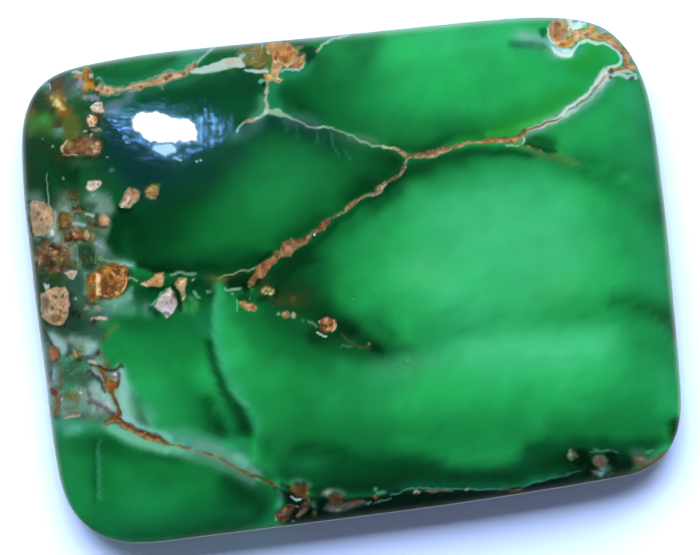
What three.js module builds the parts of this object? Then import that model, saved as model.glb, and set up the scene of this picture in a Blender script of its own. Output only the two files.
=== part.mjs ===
// A polished variscite cabochon: one solid, hand-cut stone.
//
// Plan view is a rectangle with four unlike rounded corners. The back is flat,
// with a narrow bevel round it, then a short upright girdle, and above the
// girdle a low pillow-shaped dome that is flattest in the middle.
//
// Frame: millimetres, +Z up through the dome, +X along the stone's length,
// origin at the middle of the flat back.

import * as THREE from "three";
import { mergeVertices } from "three/addons/utils/BufferGeometryUtils.js";

// Driving dimensions, in millimetres.
const HEIGHT = 5.6; // flat back to top of dome
const BEVEL_INSET = 0.5; // how far the flat back stops short of the girdle
const BEVEL_TOP = 0.42; // height of the bevel
const GIRDLE_LOW = 0.7; // the stone is widest between these two heights
const GIRDLE_HIGH = 1.15;

// Form of the dome. In section it is |s|^DOME_PLAN + |z|^2 = 1. Its level lines
// follow the stone's own outline at the girdle and are rounder further in,
// down to an ellipse on top: the outline is taken as a sum of waves round the
// stone, and the wave of order n fades as s^(ROUNDING * (n - 2)).
const DOME_PLAN = 2.5;
const ROUNDING = 0.55;
const WAVES = 40;

// The widest outline, counter-clockwise from +X.
const OUTLINE = [
  [12.0, -0.01], [12.0, 2.12], [11.97, 4.05], [11.87, 5.43], [11.64, 6.41], [11.32, 7.18],
  [10.93, 7.76], [10.46, 8.19], [9.84, 8.49], [9.01, 8.72], [7.78, 8.89], [6.07, 8.97],
  [3.95, 9.01], [1.76, 9.04], [-0.4, 9.08], [-2.6, 9.13], [-4.81, 9.17], [-6.77, 9.17],
  [-8.49, 9.08], [-9.63, 8.95], [-10.34, 8.76], [-10.85, 8.46], [-11.24, 8.04], [-11.54, 7.51],
  [-11.75, 6.79], [-11.89, 5.69], [-11.98, 4.08], [-11.99, 2.0], [-11.99, -0.09], [-11.95, -2.21],
  [-11.95, -4.32], [-11.89, -5.91], [-11.76, -6.91], [-11.51, -7.61], [-11.16, -8.14], [-10.71, -8.57],
  [-10.16, -8.88], [-9.47, -9.08], [-8.51, -9.17], [-6.84, -9.16], [-4.74, -9.14], [-2.61, -9.12],
  [-0.44, -9.09], [1.73, -9.06], [3.84, -9.0], [6.05, -8.91], [8.06, -8.81], [9.44, -8.71],
  [10.19, -8.55], [10.73, -8.28], [11.13, -7.9], [11.45, -7.4], [11.68, -6.76], [11.81, -5.85],
  [11.88, -4.29], [11.94, -2.14],
];

// Fineness of the faceted solid.
const AROUND = 112;
const DOME_RINGS = 24;

const outline = new THREE.CatmullRomCurve3(
  OUTLINE.map(([x, y]) => new THREE.Vector3(x, y, 0)),
  true,
  "catmullrom",
  0.5,
);

// The outline's distance from the middle, by angle, as waves.
const STEPS = 1440;
const polar = outline
  .getPoints(STEPS)
  .slice(0, STEPS)
  .map((p) => ({ angle: (Math.atan2(p.y, p.x) + 2 * Math.PI) % (2 * Math.PI), reach: Math.hypot(p.x, p.y) }))
  .sort((a, b) => a.angle - b.angle);

function outlineReach(angle) {
  const a = ((angle % (2 * Math.PI)) + 2 * Math.PI) % (2 * Math.PI);
  let after = polar.findIndex((p) => p.angle > a);
  if (after < 0) after = 0;
  const before = (after + polar.length - 1) % polar.length;
  const span = (polar[after].angle - polar[before].angle + 2 * Math.PI) % (2 * Math.PI);
  const along = (a - polar[before].angle + 2 * Math.PI) % (2 * Math.PI);
  const t = span > 0 ? along / span : 0;
  return polar[before].reach * (1 - t) + polar[after].reach * t;
}

const waves = [];
{
  const reach = Array.from({ length: STEPS }, (_, i) => outlineReach((2 * Math.PI * i) / STEPS));
  for (let n = 0; n <= WAVES; n++) {
    let cos = 0;
    let sin = 0;
    reach.forEach((r, i) => {
      cos += (r * Math.cos((2 * Math.PI * n * i) / STEPS) * (n ? 2 : 1)) / STEPS;
      sin += (r * Math.sin((2 * Math.PI * n * i) / STEPS) * (n ? 2 : 1)) / STEPS;
    });
    waves.push({ n, cos, sin });
  }
}

function levelReach(angle, s) {
  let r = 0;
  for (const { n, cos, sin } of waves)
    r += s ** (ROUNDING * Math.max(0, n - 2)) * (cos * Math.cos(n * angle) + sin * Math.sin(n * angle));
  return s * r;
}

// One section of the stone, from the top of the dome to the middle of the
// back: s is the share of the way out to the outline, inset is in millimetres.
const section = [];
for (let i = 0; i <= DOME_RINGS; i++) {
  const turn = (Math.PI / 2) * (i / DOME_RINGS);
  section.push({
    s: Math.sin(turn) ** (2 / DOME_PLAN),
    inset: 0,
    z: GIRDLE_HIGH + (HEIGHT - GIRDLE_HIGH) * Math.cos(turn),
  });
}
section.push({ s: 1, inset: 0, z: GIRDLE_LOW });
section.push({ s: 1, inset: 0.07, z: BEVEL_TOP });
section.push({ s: 1, inset: BEVEL_INSET, z: 0 });
section.push({ s: 0, inset: 0, z: 0 });

// A sphere of as many rings as the section has steps, with each ring moved to
// its place on the stone.
function stoneGeometry() {
  const rings = section.length - 1;
  const geometry = new THREE.SphereGeometry(1, AROUND, rings);
  const position = geometry.getAttribute("position");
  for (let ring = 0; ring <= rings; ring++) {
    const { s, inset, z } = section[ring];
    for (let k = 0; k <= AROUND; k++) {
      const p = outline.getPoint((k % AROUND) / AROUND);
      const angle = Math.atan2(p.y, p.x);
      const r = levelReach(angle, s) - inset;
      position.setXYZ(ring * (AROUND + 1) + k, r * Math.cos(angle), r * Math.sin(angle), z);
    }
  }
  geometry.deleteAttribute("normal");
  geometry.deleteAttribute("uv");
  const merged = mergeVertices(geometry, 1e-3);
  // The rings run counter-clockwise from above, the other way round from the
  // sphere's own, so each face is turned if the solid comes out inside out.
  const index = merged.getIndex();
  if (signedVolume(merged) < 0) {
    for (let i = 0; i < index.count; i += 3) {
      const b = index.getX(i + 1);
      index.setX(i + 1, index.getX(i + 2));
      index.setX(i + 2, b);
    }
  }
  merged.computeVertexNormals();
  return merged;
}

function signedVolume(geometry) {
  const position = geometry.getAttribute("position");
  const index = geometry.getIndex();
  const a = new THREE.Vector3();
  const b = new THREE.Vector3();
  const c = new THREE.Vector3();
  let volume = 0;
  for (let i = 0; i < index.count; i += 3) {
    a.fromBufferAttribute(position, index.getX(i));
    b.fromBufferAttribute(position, index.getX(i + 1));
    c.fromBufferAttribute(position, index.getX(i + 2));
    volume += a.dot(b.cross(c)) / 6;
  }
  return volume;
}

const stone = new THREE.Mesh(
  stoneGeometry(),
  new THREE.MeshStandardMaterial({
    name: "polished_variscite",
    color: 0x1f9a4c,
    roughness: 0.12,
    metalness: 0,
  }),
);
stone.name = "cabochon";

const variscite = new THREE.Group();
variscite.name = "variscite";
variscite.add(stone);

export default variscite;
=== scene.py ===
"""A polished variscite cabochon, resting on its flat back on a pale floor.

The stone is one closed mesh on the same surface as its solid: a low pillow
dome, an upright girdle, a narrow bevel and a flat back. Its veins, broken
ground and fields of green are drawn in code, stroke by stroke, and the same
drawing carries on down the girdle and across the back. The rock in the veins
is a little softer than the green, so the polish leaves it slightly low.
"""

import math

import bpy
import numpy as np
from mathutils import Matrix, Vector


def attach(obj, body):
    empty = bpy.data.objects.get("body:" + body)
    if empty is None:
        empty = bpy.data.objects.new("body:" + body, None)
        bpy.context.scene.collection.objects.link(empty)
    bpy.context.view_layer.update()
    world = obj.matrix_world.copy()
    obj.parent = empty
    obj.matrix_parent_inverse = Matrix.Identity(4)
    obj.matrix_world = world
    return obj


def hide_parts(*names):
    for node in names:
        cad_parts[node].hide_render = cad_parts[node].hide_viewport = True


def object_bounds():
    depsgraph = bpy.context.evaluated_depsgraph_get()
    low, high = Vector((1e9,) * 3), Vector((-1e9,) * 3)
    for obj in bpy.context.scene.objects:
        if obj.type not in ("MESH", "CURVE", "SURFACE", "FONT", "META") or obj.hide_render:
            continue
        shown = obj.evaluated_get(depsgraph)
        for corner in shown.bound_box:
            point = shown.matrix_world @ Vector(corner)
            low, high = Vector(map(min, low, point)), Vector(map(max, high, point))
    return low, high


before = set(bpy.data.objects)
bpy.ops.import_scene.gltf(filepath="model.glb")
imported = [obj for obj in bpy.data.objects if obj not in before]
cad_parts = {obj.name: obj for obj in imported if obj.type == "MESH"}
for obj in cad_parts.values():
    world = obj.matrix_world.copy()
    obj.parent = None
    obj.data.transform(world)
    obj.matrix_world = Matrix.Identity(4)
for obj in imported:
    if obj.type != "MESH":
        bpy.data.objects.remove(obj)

CAD_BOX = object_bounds()

# ---------------------------------------------------------------------------
# The stone's markings. They are drawn as strokes, outlines and soft washes on a flat drawing plane, whose unit is
# 0.0378 mm, with x to the right and y downwards, as the stone is seen from above. Each point of the surface looks up
# the strokes at its own place on that plane.
# ---------------------------------------------------------------------------

# Paints, as screen colours.
PAINT = {
    # greens of the stone, dark to light
    "ink": (2, 24, 10), "pit": (4, 40, 18), "bottle": (6, 56, 24), "forest": (9, 76, 34),
    "leaf": (14, 98, 46), "fern": (19, 118, 54), "grass": (24, 136, 64), "jade": (34, 156, 82),
    "spring": (38, 176, 90), "apple": (44, 184, 94), "milk": (62, 190, 122), "cream_green": (73, 202, 133),
    "pine": (8, 66, 40), "teal": (14, 64, 54), "deep_teal": (10, 52, 52), "sea": (34, 142, 96),
    "surf": (58, 158, 126), "lime": (66, 186, 78), "lawn": (34, 150, 48), "moss": (72, 122, 46),
    "olive": (104, 106, 48), "khaki": (128, 124, 66), "shade": (30, 66, 34), "smoke": (70, 84, 76),
    "sprout": (88, 180, 96), "mint": (118, 200, 160), "frost": (176, 206, 178), "ice": (146, 206, 206),
    "sky": (160, 196, 222), "pearl": (214, 228, 214), "mist": (108, 160, 140), "sage": (96, 136, 108),
    "grey_green": (86, 122, 100), "slate": (96, 122, 132), "haze": (118, 182, 156),
    # matrix
    "tan": (198, 152, 110), "sand": (212, 168, 122), "bisque": (222, 184, 142), "cream": (228, 214, 180),
    "peach": (246, 204, 152), "ochre": (190, 132, 54), "orange": (204, 146, 74), "amber": (214, 140, 44),
    "rust": (150, 74, 38), "brick": (156, 62, 28), "umber": (110, 74, 42), "bark": (134, 98, 56),
    "cocoa": (82, 52, 34), "soot": (40, 30, 24), "wine": (58, 22, 14), "rose": (188, 130, 106),
    "clay": (176, 122, 88), "brownie": (140, 86, 30), "putty": (150, 140, 118), "stone": (128, 122, 104),
    "linen": (196, 186, 160), "bone": (218, 206, 192), "shell": (216, 204, 214), "lilac": (164, 160, 178),
    "plum": (92, 72, 82), "pinkish": (196, 160, 146), "straw": (190, 184, 112), "gold": (250, 228, 146),
    "peat": (96, 68, 42), "cement": (132, 160, 146), "verdigris": (48, 90, 72), "ash": (106, 98, 84),
    "pale_tan": (198, 170, 134), "foam": (160, 200, 188), "drab": (120, 98, 78), "tarn": (22, 66, 48),
    "dun": (126, 108, 80), "fawn": (156, 132, 98), "rosewood": (104, 78, 58), "russet": (148, 108, 80),
    "loam": (94, 74, 30), "sienna": (118, 90, 42), "pebble": (132, 126, 120), "snow": (208, 248, 246),
    "chalky": (206, 222, 200), "hollow": (56, 74, 36),
    "night": (34, 46, 60), "white": (240, 246, 238), "redbrown": (168, 100, 78), "dusk": (60, 84, 78),
}


def paint(name):
    return np.array(PAINT[name], dtype=np.float64) / 255.0


def pairs(text):
    """"x,y x,y ..." or "x,y,w x,y,w ..." as an array of rows."""
    return np.array([[float(v) for v in item.split(",")] for item in text.split()])


# --- a small value noise, the same on every run ------------------------------
def lattice(ix, iy, seed):
    n = (ix.astype(np.int64) * 15731 + iy.astype(np.int64) * 789221 + seed * 1376312589) & 0x7FFFFFFF
    n = (n ^ (n >> 13)) & 0x7FFFFFFF
    n = (n * ((n * n * 15731 + 789221) & 0x7FFFFFFF) + 1376312589) & 0x7FFFFFFF
    return n / 1073741824.0 - 1.0


def noise(x, y, size, seed):
    u, v = x / size, y / size
    i, j = np.floor(u), np.floor(v)
    f, g = u - i, v - j
    f, g = f * f * f * (f * (f * 6 - 15) + 10), g * g * g * (g * (g * 6 - 15) + 10)
    i, j = i.astype(np.int64), j.astype(np.int64)
    a, b = lattice(i, j, seed), lattice(i + 1, j, seed)
    c, d = lattice(i, j + 1, seed), lattice(i + 1, j + 1, seed)
    return (a + (b - a) * f) * (1 - g) + (c + (d - c) * f) * g


def fbm(x, y, size, seed, octaves=3):
    total, gain, norm = 0.0, 1.0, 0.0
    for k in range(octaves):
        total = total + gain * noise(x, y, size / 2**k, seed + 17 * k)
        norm += gain
        gain *= 0.5
    return total / norm


def step(lo, hi, x):
    t = np.clip((x - lo) / (hi - lo), 0.0, 1.0)
    return t * t * (3 - 2 * t)


# --- strokes -------------------------------------------------------------------
def smooth_line(rows, gap=2.5):
    """A Catmull-Rom line through the rows, sampled about every gap units."""
    p = np.vstack([2 * rows[0] - rows[1], rows, 2 * rows[-1] - rows[-2]])
    out = []
    for k in range(1, len(p) - 2):
        count = max(1, int(np.hypot(*(p[k + 1, :2] - p[k, :2])) / gap))
        t = (np.arange(count) / count)[:, None]
        out.append(0.5 * (2 * p[k] + (p[k + 1] - p[k - 1]) * t + (2 * p[k - 1] - 5 * p[k] + 4 * p[k + 1] - p[k + 2]) * t**2
                          + (3 * p[k] - p[k - 1] - 3 * p[k + 1] + p[k + 2]) * t**3))
    out.append(rows[-1:])
    return np.vstack(out)


def near(x, y, rows, pad):
    return np.nonzero((x > rows[:, 0].min() - pad) & (x < rows[:, 0].max() + pad)
                      & (y > rows[:, 1].min() - pad) & (y < rows[:, 1].max() + pad))[0]


def line_field(x, y, rows):
    """Distance to the line, the rows' other channels at the nearest point, and the side: +1 is left of the direction of travel as drawn."""
    best = np.full(x.shape, 1e9)
    extra = np.zeros((len(x), rows.shape[1] - 2))
    side = np.ones(x.shape)
    for a, b in zip(rows[:-1], rows[1:]):
        dx, dy = b[0] - a[0], b[1] - a[1]
        length2 = dx * dx + dy * dy + 1e-12
        t = np.clip(((x - a[0]) * dx + (y - a[1]) * dy) / length2, 0, 1)
        ex, ey = x - a[0] - t * dx, y - a[1] - t * dy
        d2 = ex * ex + ey * ey
        m = d2 < best
        best[m] = d2[m]
        extra[m] = a[2:] + (b[2:] - a[2:]) * t[m, None]
        side[m] = np.sign(dy * ex[m] - dx * ey[m] + 1e-12)
    return np.sqrt(best), extra, side


def outline_field(x, y, rows):
    """Signed distance to a closed outline, negative inside."""
    best = np.full(x.shape, 1e9)
    inside = np.zeros(x.shape, dtype=bool)
    for a, b in zip(rows, np.roll(rows, -1, axis=0)):
        dx, dy = b[0] - a[0], b[1] - a[1]
        t = np.clip(((x - a[0]) * dx + (y - a[1]) * dy) / (dx * dx + dy * dy + 1e-12), 0, 1)
        best = np.minimum(best, (x - a[0] - t * dx) ** 2 + (y - a[1] - t * dy) ** 2)
        crosses = ((a[1] > y) != (b[1] > y)) & (x < a[0] + dx * (y - a[1]) / (dy if abs(dy) > 1e-9 else 1e-9))
        inside ^= crosses
    d = np.sqrt(best)
    return np.where(inside, -d, d)


def blot_field(x, y, cx, cy, rx, ry, turn):
    """About the signed distance to a turned ellipse."""
    c, s = np.cos(np.radians(turn)), np.sin(np.radians(turn))
    u, v = (x - cx) * c + (y - cy) * s, -(x - cx) * s + (y - cy) * c
    k = np.sqrt((u / rx) ** 2 + (v / ry) ** 2)
    g = np.sqrt((u / rx**2) ** 2 + (v / ry**2) ** 2) + 1e-9
    return k * (k - 1) / g
# --- the drawing ---------------------------------------------------------------
# The stone's fields of green, each an outline with its ground tone.
CELLS = {
    "C": ("fern", "60,86 98,88 133,88 158,82 183,74 197,64 214,49 226,36 266,34 265,112 285,116 322,127 357,139 388,146 408,158 "
                  "403,169 384,185 357,200 327,221 300,243 280,254 262,262 252,271 200,275 160,274 128,263 100,262 80,250 80,120"),
    "A": ("grass", "20,50 226,30 214,49 197,64 183,74 158,82 133,88 98,88 60,88 20,92"),
    "D": ("spring", "265,30 520,0 700,0 700,60 640,70 607,74 589,95 570,109 551,120 531,129 517,138 486,142 455,147 434,153 408,158 "
                    "388,147 357,138 322,126 285,115 265,112"),
    "E": ("jade", "517,138 531,129 551,120 570,109 589,95 607,74 640,66 700,60 700,236 664,226 640,194 620,178 590,166 562,156 541,152 525,145"),
    "F": ("apple", "408,158 434,153 455,147 486,142 517,138 525,145 541,152 562,156 590,166 620,178 640,194 664,226 700,236 700,470 580,471 "
                   "560,475 540,481 527,485 500,489 440,489 400,492 380,496 350,499 310,496 273,485 252,476 250,455 254,437 "
                   "251,423 244,407 229,391 220,367 213,339 213,316 213,285 252,272 262,262 280,254 300,243 327,221 357,200 384,185 403,169"),
    "G": ("grass", "213,285 213,339 220,367 229,391 244,407 251,423 254,437 250,455 252,476 229,463 203,452 185,449 167,444 144,437 124,427 112,412 "
                   "120,385 100,350 98,320 106,300 130,292 130,266 160,274 200,275"),
    "H": ("fern", "0,418 70,418 116,421 124,429 144,439 167,446 185,451 203,454 229,465 252,478 273,487 286,500 280,600 0,600"),
    # The near-black band along the front edge: partly the stone's own dark green, partly painted shade of the steep
    # front slope.
    "I": ("pit", "273,486 310,497 350,500 380,497 400,493 440,490 500,490 527,487 540,482 560,476 580,472 620,474 700,462 700,600 270,600 284,505"),
    "K": ("shade", "0,70 60,66 97,86 104,100 106,118 104,146 100,158 102,176 112,182 112,200 110,226 104,246 102,262 132,262 132,291 129,303 118,316 106,326 "
                  "102,346 112,368 124,384 138,398 150,428 144,438 124,430 116,420 70,418 0,420"),
}
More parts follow.
